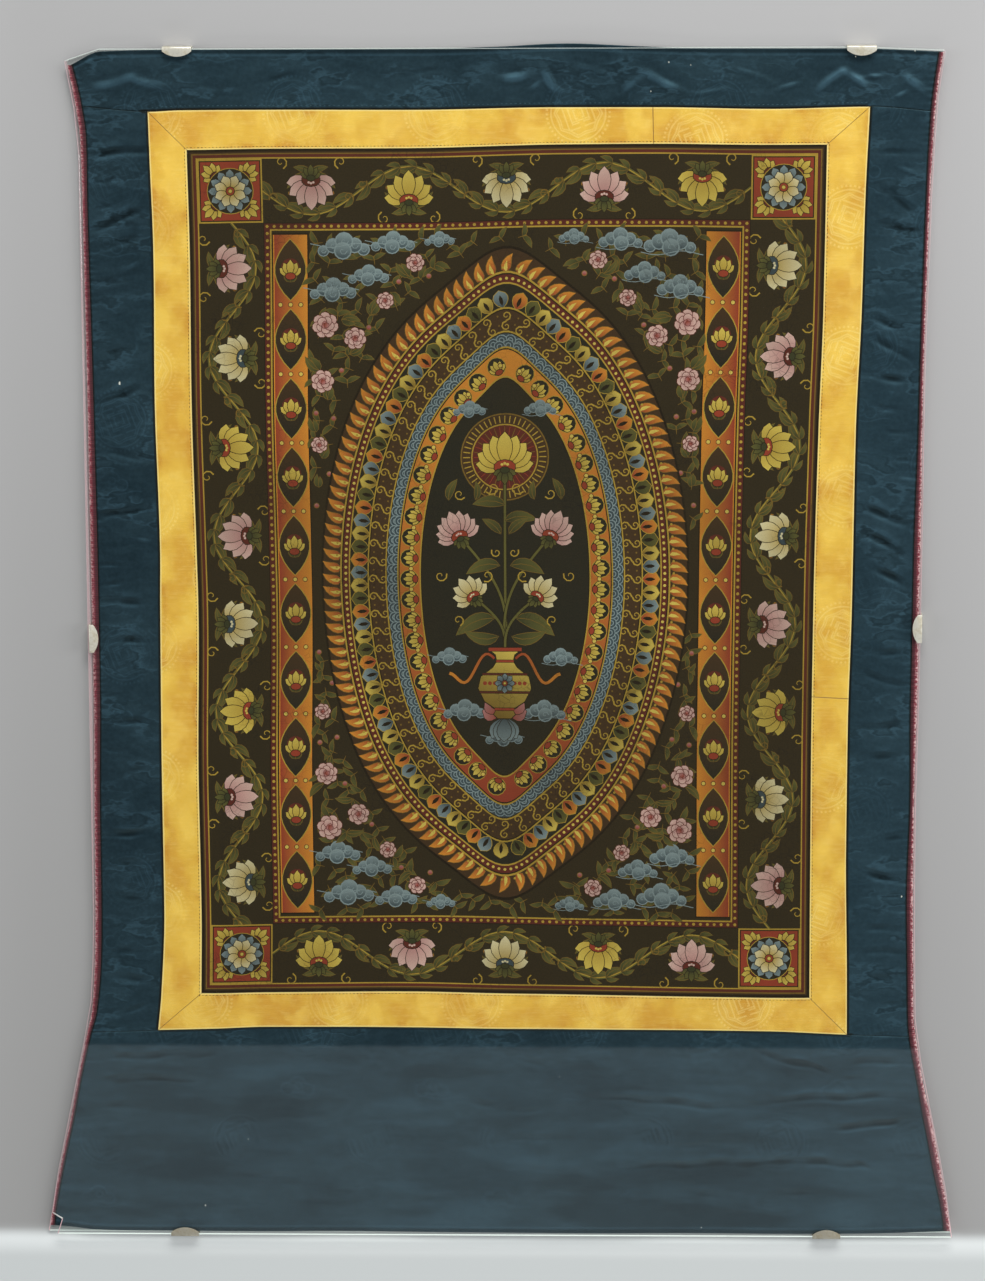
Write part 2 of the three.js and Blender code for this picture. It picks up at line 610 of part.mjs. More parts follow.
// The outline of a clear sheet, counterclockwise from the foot's left end. A broken corner's points run
// from the side edge down to the foot.
function sheetOutline(foot, brokenCorner = [{ x: sheetLeft(foot.left), up: foot.left }]) {
  const corner = brokenCorner.map((point) => [point.x, point.up]);
  const points = [corner[corner.length - 1]];
  for (let k = 0; k <= SHEET_SIDE_STEPS; k += 1) {
    const up = lerp(foot.right, HEAD_RIGHT_UP, k / SHEET_SIDE_STEPS);
    points.push([sheetRight(up), up]);
  }
  points.push(...[...SHEET_HEAD].reverse().map((point) => [point.x, point.up]));
  for (let k = 0; k < SHEET_SIDE_STEPS; k += 1) {
    const up = lerp(CUT_CORNER_UP, corner[0][1], k / SHEET_SIDE_STEPS);
    points.push([sheetLeft(up), up]);
  }
  points.push(...corner.slice(0, -1));
  return points;
}

function sheetBody(outline, z) {
  const shape = new THREE.Shape(outline.map(([x, up]) => new THREE.Vector2(x, up)));
  const geometry = new THREE.ExtrudeGeometry(shape, { depth: SHEET_THICK, bevelEnabled: false });
  return geometry.translate(0, 0, z);
}

// Height of a sheet's foot at x.
const footAt = (foot, x) => {
  const from = sheetLeft(foot.left);
  return lerp(foot.left, foot.right, (x - from) / (sheetRight(foot.right) - from));
};

// ---------------------------------------------------------------- clips

function toManifold(geometry) {
  const bare = geometry.clone();
  bare.deleteAttribute('normal');
  bare.deleteAttribute('uv');
  const merged = mergeVertices(bare);
  return new wasm.Manifold(
    new wasm.Mesh({
      numProp: 3,
      vertProperties: new Float32Array(merged.attributes.position.array),
      triVerts: new Uint32Array(merged.index.array),
    }),
  );
}

function fromManifold(body) {
  const mesh = body.getMesh();
  return bodyOf(Array.from(mesh.vertProperties), Array.from(mesh.triVerts));
}

// One spring clip: a metal strip bent round both sheets, its tabs cut to a half round. The sheets' edge
// lies along X at y = 0, and the tabs reach towards +Y.
function clipBody() {
  const out = -SEAT - CLIP_METAL;
  const profile = new THREE.Shape();
  const inside = { low: CLIP_METAL, high: CLIP_TOP_Z - CLIP_METAL };
  const bendInside = CLIP_BEND - CLIP_METAL;
  profile.moveTo(out + CLIP_REACH, 0);
  profile.lineTo(out + CLIP_REACH, inside.low);
  profile.lineTo(out + CLIP_METAL + bendInside, inside.low);
  profile.absarc(
    out + CLIP_BEND, inside.low + bendInside, bendInside, (3 / 2) * Math.PI, Math.PI, true,
  );
  profile.absarc(
    out + CLIP_BEND, inside.high - bendInside, bendInside, Math.PI, Math.PI / 2, true,
  );
  profile.lineTo(out + CLIP_REACH, inside.high);
  profile.lineTo(out + CLIP_REACH, CLIP_TOP_Z);
  profile.absarc(out + CLIP_BEND, CLIP_TOP_Z - CLIP_BEND, CLIP_BEND, Math.PI / 2, Math.PI, false);
  profile.absarc(out + CLIP_BEND, CLIP_BEND, CLIP_BEND, Math.PI, (3 / 2) * Math.PI, false);
  const strip = new THREE.ExtrudeGeometry(profile, {
    depth: CLIP_WIDTH,
    bevelEnabled: false,
    curveSegments: CLIP_BEND_STEPS,
  });
  // The profile is drawn in (y, z) and carried along x.
  strip.applyMatrix4(
    new THREE.Matrix4().makeBasis(
      new THREE.Vector3(0, 1, 0),
      new THREE.Vector3(0, 0, 1),
      new THREE.Vector3(1, 0, 0),
    ),
  );
  strip.translate(-CLIP_WIDTH / 2, 0, 0);
  const bulge = CLIP_REACH - CLIP_SHOULDER;
  const radius = ((CLIP_WIDTH / 2) ** 2 + bulge ** 2) / (2 * bulge);
  const sweep = Math.asin(CLIP_WIDTH / 2 / radius);
  const halfRound = new THREE.Shape();
  halfRound.moveTo(-CLIP_WIDTH / 2, out);
  halfRound.lineTo(CLIP_WIDTH / 2, out);
  const centre = out + CLIP_REACH - radius;
  halfRound.absarc(0, centre, radius, Math.PI / 2 - sweep, Math.PI / 2 + sweep, false);
  const cutter = new THREE.ExtrudeGeometry(halfRound, {
    depth: CLIP_TOP_Z,
    bevelEnabled: false,
    curveSegments: CLIP_ARC_STEPS,
  });
  return fromManifold(toManifold(strip).intersect(toManifold(cutter)));
}

// Where a clip sits on an edge of the sheets, and the way that its tabs point, turned from +Y. The two
// feet differ, so a clip there sits on the lower one.
const headAt = column(SHEET_HEAD, 'up', 'x');
const EDGES = {
  head: (x) => ({ x, up: headAt(x), turn: Math.PI }),
  left: (up) => ({ x: sheetLeft(up), up, turn: -Math.PI / 2 }),
  right: (up) => ({ x: sheetRight(up), up, turn: Math.PI / 2 }),
  foot: (x) => ({ x, up: Math.min(footAt(BACK_FOOT, x), footAt(FRONT_FOOT, x)), turn: 0 }),
};

// ---------------------------------------------------------------- materials and assembly

const finish = (color, roughness, metalness = 0) =>
  new THREE.MeshStandardMaterial({ color, roughness, metalness });
const clearFinish = () => {
  const material = finish(CLEAR, CLEAR_ROUGH);
  material.transparent = true;
  material.opacity = CLEAR_OPACITY;
  return material;
};

const scroll = new THREE.Group();

function add(name, geometry, material) {
  const mesh = new THREE.Mesh(geometry, material);
  mesh.name = name;
  scroll.add(mesh);
  return mesh;
}

add('sheet_back', sheetBody(sheetOutline(BACK_FOOT), BACK_SHEET_Z), clearFinish());
add('sheet_front', sheetBody(sheetOutline(FRONT_FOOT, CHIP), FRONT_SHEET_Z), clearFinish());

add('painting', clothBody(painting, PAINTING_STEPS), finish(PAINT, COTTON_ROUGH));

const { across: acrossSteps, along: alongSteps } = BORDER_STEPS;
const halfUpright = { across: acrossSteps, along: alongSteps / 2 };
const level = { across: alongSteps, along: acrossSteps };
const halfLevel = { across: alongSteps / 2, along: acrossSteps };
for (const [name, place, steps] of [
  ['border_left', borderLeft, BORDER_STEPS],
  ['border_right_lower', borderRightLower, halfUpright],
  ['border_right_upper', borderRightUpper, halfUpright],
  ['border_bottom', borderBottom, level],
  ['border_top_left', borderTopLeft, halfLevel],
  ['border_top_right', borderTopRight, halfLevel],
]) {
  add(name, clothBody(place, steps), finish(YELLOW, SILK_ROUGH));
}

for (const [name, place, steps] of [
  ['surround_left', surroundLeft, STRIP_STEPS],
  ['surround_right', surroundRight, STRIP_STEPS],
  ['surround_top', surroundTop, HEAD_STEPS],
  ['surround_bottom', surroundBottom, SKIRT_STEPS],
]) {
  add(name, clothBody(place, steps), finish(SATIN, SATIN_ROUGH));
}

const bindingFinish = () => finish(RED, COTTON_ROUGH);
add(
  'binding_left',
  bindingBody(satinLeft, bindingOuterLeft, FOOT_HEM_ENDS.left, HEAD_HEM_ENDS.left, -1),
  bindingFinish(),
);
add(
  'binding_right',
  bindingBody(satinRight, bindingOuterRight, FOOT_HEM_ENDS.right, HEAD_HEM_ENDS.right, 1),
  bindingFinish(),
);

for (const { name, edge, at } of CLIP_PLACES) {
  const { x, up, turn } = EDGES[edge](at);
  const clip = add(name, clipBody(), finish(STEEL, STEEL_ROUGH, STEEL_METALNESS));
  clip.position.set(x, up, 0);
  clip.rotation.z = turn;
}

// The origin is the middle of the face that the scroll lies on.
const reach = new THREE.Box3().setFromObject(scroll);
const centre = reach.getCenter(new THREE.Vector3());
scroll.position.set(-centre.x, -centre.y, -reach.min.z);
scroll.updateMatrixWorld(true);

export default scroll;
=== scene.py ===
# %% [markdown]
# # A painted cloth scroll in a clear clip frame
# The real object is a stack: a thin clear sheet, a sewn cloth hanging, a second clear sheet, and six
# spring clips that pinch the stack together. Here it lies on its back, so +Z comes out of the painted
# face, +Y runs to its head and +X to its right. The solid frame comes first; everything soft is then
# made around it, in metres.

# %% Load the fixed frame
import math
import random

import bmesh
import bpy
import numpy as np
from mathutils import Matrix, Vector
from mathutils.bvhtree import BVHTree
from mathutils.geometry import delaunay_2d_cdt


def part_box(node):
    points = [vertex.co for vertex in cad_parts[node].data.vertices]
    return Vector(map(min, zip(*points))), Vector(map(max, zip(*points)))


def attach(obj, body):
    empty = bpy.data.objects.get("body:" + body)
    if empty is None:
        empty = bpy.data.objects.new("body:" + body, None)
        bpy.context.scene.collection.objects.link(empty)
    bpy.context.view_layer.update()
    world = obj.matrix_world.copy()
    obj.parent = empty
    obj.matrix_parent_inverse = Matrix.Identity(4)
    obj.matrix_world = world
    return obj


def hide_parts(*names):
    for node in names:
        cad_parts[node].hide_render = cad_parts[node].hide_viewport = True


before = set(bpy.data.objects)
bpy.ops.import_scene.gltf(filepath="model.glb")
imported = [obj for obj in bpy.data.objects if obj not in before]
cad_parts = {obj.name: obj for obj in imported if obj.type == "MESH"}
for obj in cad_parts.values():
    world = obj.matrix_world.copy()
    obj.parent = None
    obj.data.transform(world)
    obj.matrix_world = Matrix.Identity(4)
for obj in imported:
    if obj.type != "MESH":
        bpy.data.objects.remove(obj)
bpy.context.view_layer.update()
print("frame:", len(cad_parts), "nodes")

# %% [markdown]
# The camera comes next, because it says which side has to be best. It stands square to the scroll but
# for twelve degrees towards the head, as someone sees a picture that leans back on a shelf. A long
# lens keeps the outline's true proportions.

# %% Camera
MM = 0.001
TILT = math.radians(12.0)  # towards the head
SWING = math.radians(1.5)  # towards the scroll's right
ROLL = math.radians(-0.15)
DISTANCE = 3.06
TARGET = Vector((-0.0035, 0.0138, 0.0058))
LENS = 148.6
SENSOR = 36.0


def stand(name, data):
    """A new object in the scene that holds the data."""
    made = bpy.data.objects.new(name, data)
    bpy.context.collection.objects.link(made)
    return made


def camera_axes():
    back = Vector((math.sin(SWING) * math.cos(TILT), math.sin(TILT), math.cos(TILT) * math.cos(SWING)))
    back.normalize()
    right = Vector((0, 1, 0)).cross(back).normalized()
    up = back.cross(right)
    turned_right = right * math.cos(ROLL) + up * math.sin(ROLL)
    turned_up = up * math.cos(ROLL) - right * math.sin(ROLL)
    return turned_right, turned_up, back


right, up, back = camera_axes()
camera = stand("camera", bpy.data.cameras.new("camera"))
camera.data.lens = LENS
camera.data.sensor_fit = "HORIZONTAL"
camera.data.sensor_width = SENSOR
camera.data.clip_end = 50
camera.matrix_world = Matrix([(right[k], up[k], back[k], 0) for k in range(3)] + [(0, 0, 0, 1)])
camera.location = TARGET + back * DISTANCE
bpy.context.scene.camera = camera
print("camera at", [round(v, 3) for v in camera.location])

# %% [markdown]
# Every edge of the sewn cloth is a hand-cut curve, a little uneven. Each curve is a short table: a
# place along the edge and how far the cloth reaches there, in millimetres from the scroll's middle
# line and up from its foot. One function turns a column of such a table into a smooth curve that never
# swings past its rows.

# %% Tables of the outline


def table(columns, *rows):
    names = columns.split()
    return [dict(zip(names, row)) for row in rows]


def column(rows, key, by):
    """A smooth curve through one column of a table that doesn't overshoot its rows."""
    at = np.array([row[by] for row in rows], float)
    value = np.array([row[key] for row in rows], float)
    rate = np.diff(value) / np.diff(at)
    product, total = rate[:-1] * rate[1:], rate[:-1] + rate[1:]
    middle = np.where(product > 0, 2 * product / np.where(total == 0, 1, total), 0)
    slope = np.concatenate(([rate[0]], middle, [rate[-1]]))

    def curve(place):
        place = np.asarray(place, float)
        i = np.clip(np.searchsorted(at, place) - 1, 0, len(at) - 2)
        span = at[i + 1] - at[i]
        t = (place - at[i]) / span
        rest = 1 - t
        ends = value[i] * (1 + 2 * t) * rest**2 + value[i + 1] * (3 - 2 * t) * t**2
        return ends + span * t * rest * (slope[i] * rest - slope[i + 1] * t)

    return curve


SIDES = table(
    "up left right bind_left bind_right",
    (0, -351.3, 350.8, 3.2, 4.2),
    (20, -348.2, 348.6, 2.2, 4.4),
    (62, -339.6, 341.1, 2.0, 5.6),
    (95, -332.1, 334.5, 2.0, 5.6),
    (127, -325.7, 327.3, 2.0, 4.4),
    (162, -318.2, 321.4, 2.6, 5.0),
    (181, -314.1, 319.0, 3.6, 4.2),
    (223, -310.9, 318.0, 4.6, 4.4),
    (270, -309.4, 316.8, 4.4, 4.6),
    (350, -308.2, 316.2, 4.0, 2.6),
    (428, -306.9, 317.0, 4.6, 4.6),
    (535, -306.7, 317.2, 5.0, 4.6),
    (655, -306.5, 316.9, 4.2, 2.4),
    (800, -306.7, 319.1, 3.4, 2.4),
    (850, -307.4, 320.9, 4.2, 2.8),
    (873, -310.1, 322.1, 4.2, 2.8),
    (914, -317.4, 327.0, 2.4, 2.8),
)
HEAD_HEM = table(
    "x up",
    (-312.0, 903.4),
    (-289.6, 913.2),
    (-230.0, 914.5),
    (-60.0, 914.8),
    (-2.0, 916.2),
    (52.0, 918.6),
    (104.0, 916.6),
    (150.0, 914.9),
    (265.0, 914.6),
    (323.5, 912.6),
)
FOOT_HEM = table(
    "x up",
    (-347.0, 6.6),
    (-332.0, 5.6),
    (-314.0, 3.6),
    (-280.0, 3.0),
    (200.0, 3.4),
    (275.0, 4.0),
    (345.0, 6.8),
)
BORDER_TOP = table(
    "x outer inner",
    (-306.0, 873.2, 841.0),
    (-256.2, 869.4, 841.0),
    (-232.0, 870.5, 841.0),
    (-173.0, 870.8, 841.8),
    (-63.0, 870.6, 842.2),
    (47.0, 872.6, 845.0),
    (120.0, 872.5, 845.4),
    (200.0, 871.2, 844.6),
    (273.4, 872.8, 844.8),
    (318.0, 869.4, 844.8),
)
BORDER_BOTTOM = table(
    "x outer inner",
    (-315.0, 164.0, 196.0),
    (-262.4, 165.6, 196.0),
    (-218.0, 166.8, 195.8),
    (-179.0, 168.6, 196.8),
    (-64.0, 169.2, 198.2),
    (13.0, 168.1, 196.9),
    (90.0, 167.7, 195.6),
    (205.0, 167.5, 194.6),
    (267.3, 165.0, 195.2),
    (316.0, 163.6, 195.2),
)
BORDER_LEFT = table(
    "up outer inner",
    (165.6, -262.4, -228.4),
    (196.0, -259.2, -227.8),
    (261.0, -255.8, -226.6),
    (356.0, -255.5, -227.0),
    (496.0, -254.3, -224.9),
    (542.0, -253.5, -225.5),
    (656.0, -255.3, -227.2),
    (768.0, -254.1, -226.6),
    (841.0, -255.6, -227.4),
    (869.4, -256.2, -227.6),
)
BORDER_RIGHT = table(
    "up outer inner",
    (165.0, 267.3, 238.0),
    (216.0, 266.5, 237.5),
    (311.0, 264.5, 236.9),
    (404.0, 264.3, 236.4),
    (497.0, 265.9, 236.6),
    (634.0, 266.7, 238.5),
    (723.0, 269.7, 240.9),
    (812.0, 271.2, 241.6),
    (872.8, 273.4, 242.0),
)
SHEET_HEAD_UP = 916.1
CLIP_TOP_LEFT_X = -233.4
TOP_JOIN_X = (114.5, 115.2)  # on the outer and the inner edge
RIGHT_JOIN_UP = (429.0, 430.4)
HEAD_HEM_ENDS = (903.4, 912.6)
FOOT_HEM_ENDS = (6.7, 6.7)
HEM_CORNER = 24
CLOTH_INSET = 0.9
print("outline tables:", len(SIDES) + len(BORDER_TOP) + len(BORDER_LEFT), "rows of edges")

# %% [markdown]
# The tables count from the scroll's own foot and middle line. The frame says where the clear sheets and
# the first clip really lie, so the shift between the two comes from there, and so does the height of
# the cloth: halfway between the two sheets.

# %% Seat the cloth in the frame
clip_low, clip_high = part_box("clip_top_left")
_, back_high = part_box("sheet_back")
front_low, front_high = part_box("sheet_front")
SHIFT_X = (clip_low[0] + clip_high[0]) / 2 - CLIP_TOP_LEFT_X * MM
SHIFT_Y = back_high[1] - SHEET_HEAD_UP * MM
CLOTH_Z = (back_high[2] + front_low[2]) / 2
CLOTH_ROOM = (front_low[2] - back_high[2]) / MM
print("cloth room:", round(CLOTH_ROOM, 2), "mm at height", round(CLOTH_Z / MM, 2), "mm")

# %% [markdown]
# Cloth pressed between two sheets still keeps its creases. The main ones are a table of soft troughs
# and ridges, each a line through a point, with its reach either way, its turn and its depth. A second
# table holds the finer puckers along the seams, where sewing gathers the satin. Three slow waves carry
# the whole hanging nearer one sheet or the other.

# %% Folds
FOLD_WIDTH = 3.0
PUCKER_SHARE = 0.7
FOLDS = table(
    "x up run turn rise",
    # left strip
    (-278, 839, 22, 6, -1.5),
    (-279, 790, 18, 21, -1.6),
    (-278, 772, 16, 14, -1.0),
    (-282, 745, 14, 13, -0.9),
    (-280, 694, 15, 11, -1.0),
    (-282, 659, 19, 22, -1.4),
    (-276, 614, 14, -9, -1.2),
    (-283, 570, 17, 13, -1.4),
    (-283, 502, 18, 1, -1.3),
    (-278, 472, 16, -1, -1.2),
    (-279, 409, 16, -3, -1.1),
    (-280, 370, 14, 18, -1.0),
    (-282, 322, 16, 9, -1.4),
    (-279, 298, 14, -8, -0.9),
    (-283, 271, 17, -1, -1.1),
    (-283, 229, 16, 3, -1.0),
    (-283, 207, 15, -3, -1.2),
    # right strip
    (295, 804, 18, -33, -1.4),
    (297, 785, 17, -13, -1.6),
    (290, 713, 14, -20, -1.2),
    (292, 695, 18, -34, -1.3),
    (290, 673, 19, -7, -1.3),
    (289, 569, 19, -19, -1.7),
    (287, 549, 20, -31, -1.7),
    (293, 523, 16, -31, -1.6),
    (291, 465, 16, -3, -1.0),
    (290, 444, 18, -16, -1.1),
    (290, 408, 18, 8, -1.1),
    (291, 385, 18, 1, -1.1),
    (298, 321, 14, 4, -1.0),
    (291, 291, 20, -16, -1.5),
    (294, 249, 14, -2, -1.1),
    (294, 231, 17, -1, -1.0),
    (296, 211, 14, 7, -1.0),
    # head
    (-281, 890, 16, 14, 1.2),
    (-256, 890, 12, -13, 1.2),
    (14, 894, 12, 9, 1.4),
    (38, 893, 12, -54, 1.6),
    (100, 890, 9, 45, 1.4),
    (120, 891, 13, -24, 1.5),
    (244, 891, 12, 40, 1.7),
    (262, 892, 11, -34, 1.6),
    (305, 889, 10, -44, 1.4),
    # skirt
    (-268, 145, 46, 3, -1.3),
    (-272, 126, 36, 2, -1.1),
    (-291, 104, 20, -5, -0.9),
    (-12, 108, 17, -6, -0.9),
    (32, 141, 18, -6, -0.9),
    (137, 109, 46, -5, -1.3),
    (258, 114, 58, 2, -1.5),
    (222, 144, 27, -17, -1.5),
    (288, 143, 21, 3, -1.3),
    (280, 92, 34, 6, -1.5),
    (25, 80, 24, 3, -0.8),
    (175, 60, 70, 2, -1.5),
    (258, 61, 30, -4, -1.2),
    (164, 35, 17, -1, -1.0),
    (229, 37, 14, -4, -1.0),
)
PUCKERS = table(
    "x up run turn rise width",
    # left strip, most of them starting at the binding
    (-284, 818, 13, 13, -0.5, 2.6),
    (-288, 800, 10, 18, -0.5, 2.2),
    (-281, 719, 9, 13, -0.5, 2.6),
    (-286, 639, 13, 14, -0.6, 2.8),
    (-290, 530, 11, 2, -0.6, 2.6),
    (-289, 516, 10, 13, -0.6, 2.4),
    (-287, 451, 10, 17, -0.6, 2.6),
    (-292, 594, 8, -6, -0.5, 2.2),
    (-293, 430, 9, 8, -0.5, 2.2),
    (-290, 386, 9, -6, -0.5, 2.4),
    (-294, 349, 9, 4, -0.5, 2.2),
    (-292, 248, 9, 10, -0.5, 2.2),
    (-281, 183, 18, 18, -0.7, 3.2),
    (-297, 678, 7, 20, 0.5, 2.2),
    (-268, 757, 9, 24, 0.5, 2.4),
    (-266, 548, 8, -14, 0.45, 2.4),
    # right strip
    (295, 839, 15, 4, -0.8, 3.0),
    (303, 826, 10, -16, 0.6, 2.4),
    (286, 738, 9, -58, -0.7, 2.8),
    (291, 650, 13, -11, -0.7, 3.0),
    (298, 632, 9, -9, -0.7, 2.6),
    (303, 612, 8, 6, -0.6, 2.2),
    (304, 597, 8, -10, 0.6, 2.2),
    (299, 496, 11, -4, -0.7, 2.6),
    (303, 482, 8, -8, 0.6, 2.2),
    (294, 360, 9, -9, -0.6, 2.6),
    (303, 342, 9, 4, -0.6, 2.4),
    (297, 276, 13, 2, -0.7, 2.6),
    (303, 262, 8, -6, 0.5, 2.2),
    (302, 190, 10, 8, -0.6, 2.4),
    (293, 164, 12, 4, -0.7, 2.8),
    # head: the little crossing ridges over the border
    (29, 887, 6, 31, 0.7, 2.4),
    (48, 883, 6, -31, 0.7, 2.4),
    (-205, 884, 16, -8, 0.5, 2.6),
    (-160, 893, 18, 10, -0.6, 3.0),
    (-110, 886, 14, -12, 0.5, 2.8),
    (-60, 897, 16, 6, -0.6, 3.0),
    (66, 901, 12, -20, 0.6, 2.6),
    (80, 896, 8, -12, 0.6, 2.4),
    (158, 884, 12, 14, 0.6, 2.6),
    (186, 896, 14, -22, 0.6, 2.8),
    (212, 886, 12, 18, 0.6, 2.6),
    (276, 894, 8, 8, 0.7, 2.4),
    (296, 882, 6, 35, 0.7, 2.2),
    (311, 902, 8, 30, 0.5, 2.2),
    # skirt
    (-230, 145, 17, 5, -0.7, 3.2),
    (-298, 127, 14, 7, -0.7, 3.0),
    (-244, 125, 17, -1, -0.6, 3.0),
    (28, 103, 19, 3, -0.6, 3.2),
    (90, 113, 19, -2, -0.6, 3.2),
    (202, 109, 24, 6, -0.8, 3.4),
    (244, 138, 12, -19, -0.7, 2.8),
    (275, 129, 15, 5, -0.7, 3.0),
    (298, 94, 19, 10, -0.7, 3.2),
    (146, 75, 25, 1, -0.7, 3.4),
    (25, 56, 23, 0, -0.6, 3.2),
    (282, 59, 11, -18, -0.7, 2.8),
    (54, 36, 8, -4, -0.5, 2.6),
    (180, 19, 16, -1, -0.6, 3.0),
    (-150, 92, 30, 3, -0.5, 4.0),
    (-180, 48, 34, -4, -0.5, 4.0),
    (-60, 30, 26, 5, -0.5, 3.6),
)
SWELLS = table(
    "height across along shift",
    (0.6, 330, 460, 0.6),
    (0.45, -240, 215, 2.1),
    (0.3, 130, -150, 4.0),
)
RELIEF_LIMIT = 1.5
BANK = 0.45  # share of a trough's depth that is pushed up as a ridge on its head side
WANDER = 0.9  # mm that a crease strays from its line
GATHER_PITCH, GATHER_RISE, GATHER_REACH = 5.2, 0.35, 4.5  # mm


def crease(x, up, row, width):
    turn = math.radians(row["turn"])
    along = (x - row["x"]) * math.cos(turn) + (up - row["up"]) * math.sin(turn)
    across = (up - row["up"]) * math.cos(turn) - (x - row["x"]) * math.sin(turn)
    across = across + WANDER * np.sin(along / 7.3 + row["x"])
    fade = np.exp(-((along / row["run"]) ** 2)) * (0.8 + 0.2 * np.sin(along / 4.1 + row["up"]))
    trough = np.exp(-((across / width) ** 2))
    bank = np.exp(-((across / width - 1.7) ** 2))
    return row["rise"] * fade * (trough - BANK * bank)


def gathers(x, up):
    """Small, uneven puckers along both side seams, gone a few millimetres in."""
    beat = np.sin(up * math.tau / GATHER_PITCH + 2.2 * np.sin(up / 17) + 1.3 * np.sin(up / 7.1))
    gap = np.minimum(x - satin_left(up), satin_right(up) - x)
    strength = 0.6 + 0.4 * np.sin(up / 23 + 1)
    return GATHER_RISE * beat * strength * np.exp(-np.maximum(gap, 0) / GATHER_REACH)


def creases(x, up):
    """Everything finer than the slow waves, in mm."""
    height = gathers(x, up) + np.zeros(np.broadcast(x, up).shape)
    for row in FOLDS:
        height += crease(x, up, row, FOLD_WIDTH)
    for row in PUCKERS:
        height += crease(x, up, row, row["width"] * PUCKER_SHARE)
    return height


def relief(x, up):
    """Height of the cloth above its middle level, in mm, for arrays of places."""
    height = creases(x, up)
    for row in SWELLS:
        height += row["height"] * np.sin((x / row["across"] + up / row["along"]) * math.tau + row["shift"])
    return RELIEF_LIMIT * np.tanh(height / RELIEF_LIMIT)


print("creases:", len(FOLDS) + len(PUCKERS))

# %% [markdown]
# Each piece of cloth is a patch between four of those curves. A Coons patch blends the four edges, so
# the threads inside follow the cut. The same corners serve both neighbours of a seam, which keeps the
# pieces exactly side by side.

# %% Edge curves and patches
sheet_left, sheet_right = (column(SIDES, key, "up") for key in ("left", "right"))
bind_left, bind_right = (column(SIDES, key, "up") for key in ("bind_left", "bind_right"))
top_outer, top_inner = (column(BORDER_TOP, key, "x") for key in ("outer", "inner"))
bottom_outer, bottom_inner = (column(BORDER_BOTTOM, key, "x") for key in ("outer", "inner"))
left_outer, left_inner = (column(BORDER_LEFT, key, "up") for key in ("outer", "inner"))
right_outer, right_inner = (column(BORDER_RIGHT, key, "up") for key in ("outer", "inner"))
head_hem, foot_hem = column(HEAD_HEM, "up", "x"), column(FOOT_HEM, "up", "x")


def binding_left_outer(up):
    return sheet_left(up) + CLOTH_INSET


def binding_right_outer(up):
    return sheet_right(up) - CLOTH_INSET


def satin_left(up):
    return binding_left_outer(up) + bind_left(up)


def satin_right(up):
    return binding_right_outer(up) - bind_right(up)


def lerp(start, end, share):
    return start + (end - start) * share


def upright(curve, start, end):
    return lambda t: np.array([curve(lerp(start, end, t)), lerp(start, end, t) + 0 * t])


def level(curve, start, end):
    return lambda t: np.array([lerp(start, end, t) + 0 * t, curve(lerp(start, end, t))])


def straight(start, end):
    return lambda t: np.array([lerp(start[k], end[k], t) for k in (0, 1)])


def hem(curve, ends):
    start, end = satin_left(ends[0]), satin_right(ends[1])
    off = ends[0] - curve(start), ends[1] - curve(end)

    def edge(t):
        x = lerp(start, end, t)
        return np.array([x, curve(x) + off[0] * (1 - t) ** HEM_CORNER + off[1] * t**HEM_CORNER])

    return edge


def meet(upright_curve, level_curve, near):
    for _ in range(6):
        near = level_curve(upright_curve(near))
    return float(upright_curve(near)), float(near)


def patch(left, right, foot, head):
    """place(u, v) inside four edges, for arrays u and v from 0 to 1."""

    def place(u, v):
        u, v = np.asarray(u, float), np.asarray(v, float)
        sides = lerp(foot(u), head(u), v) + lerp(left(v), right(v), u)
        foot_left, foot_right = foot(np.zeros(1)), foot(np.ones(1))
        head_left, head_right = head(np.zeros(1)), head(np.ones(1))
        low = [lerp(foot_left[k], foot_right[k], u) for k in (0, 1)]
        high = [lerp(head_left[k], head_right[k], u) for k in (0, 1)]
        return sides - np.array([lerp(low[k], high[k], v) for k in (0, 1)])

    return place


BORDER_FOOT, BORDER_HEAD = BORDER_LEFT[0]["up"], BORDER_LEFT[-1]["up"]
PICTURE_FOOT, PICTURE_HEAD = BORDER_BOTTOM[0]["inner"], BORDER_TOP[0]["inner"]


def meetings(left, right, foot, head, foot_up, head_up):
    """The four points where two upright edges meet two level ones."""
    return {
        f"{end}_{side}": meet(upright_edge, level_edge, near)
        for end, level_edge, near in (("foot", foot, foot_up), ("head", head, head_up))
        for side, upright_edge in (("left", left), ("right", right))
    }


OUTER = meetings(left_outer, right_outer, bottom_outer, top_outer, BORDER_FOOT, BORDER_HEAD)
INNER = meetings(left_inner, right_inner, bottom_inner, top_inner, PICTURE_FOOT, PICTURE_HEAD)
SEAM = meetings(satin_left, satin_right, bottom_outer, top_outer, BORDER_FOOT, BORDER_HEAD)
print("picture opening:", round(INNER["foot_right"][0] - INNER["foot_left"][0]), "mm wide")

# %% [markdown]
# A material is easier to read as a sum than as a web of noodles. This small class wraps a socket, so
# that `1 - mask` or `wave * 0.3` adds the Math nodes by itself. Every other node comes from one method
# that takes its type, its settings and the values of its sockets.

# %% Shader sums


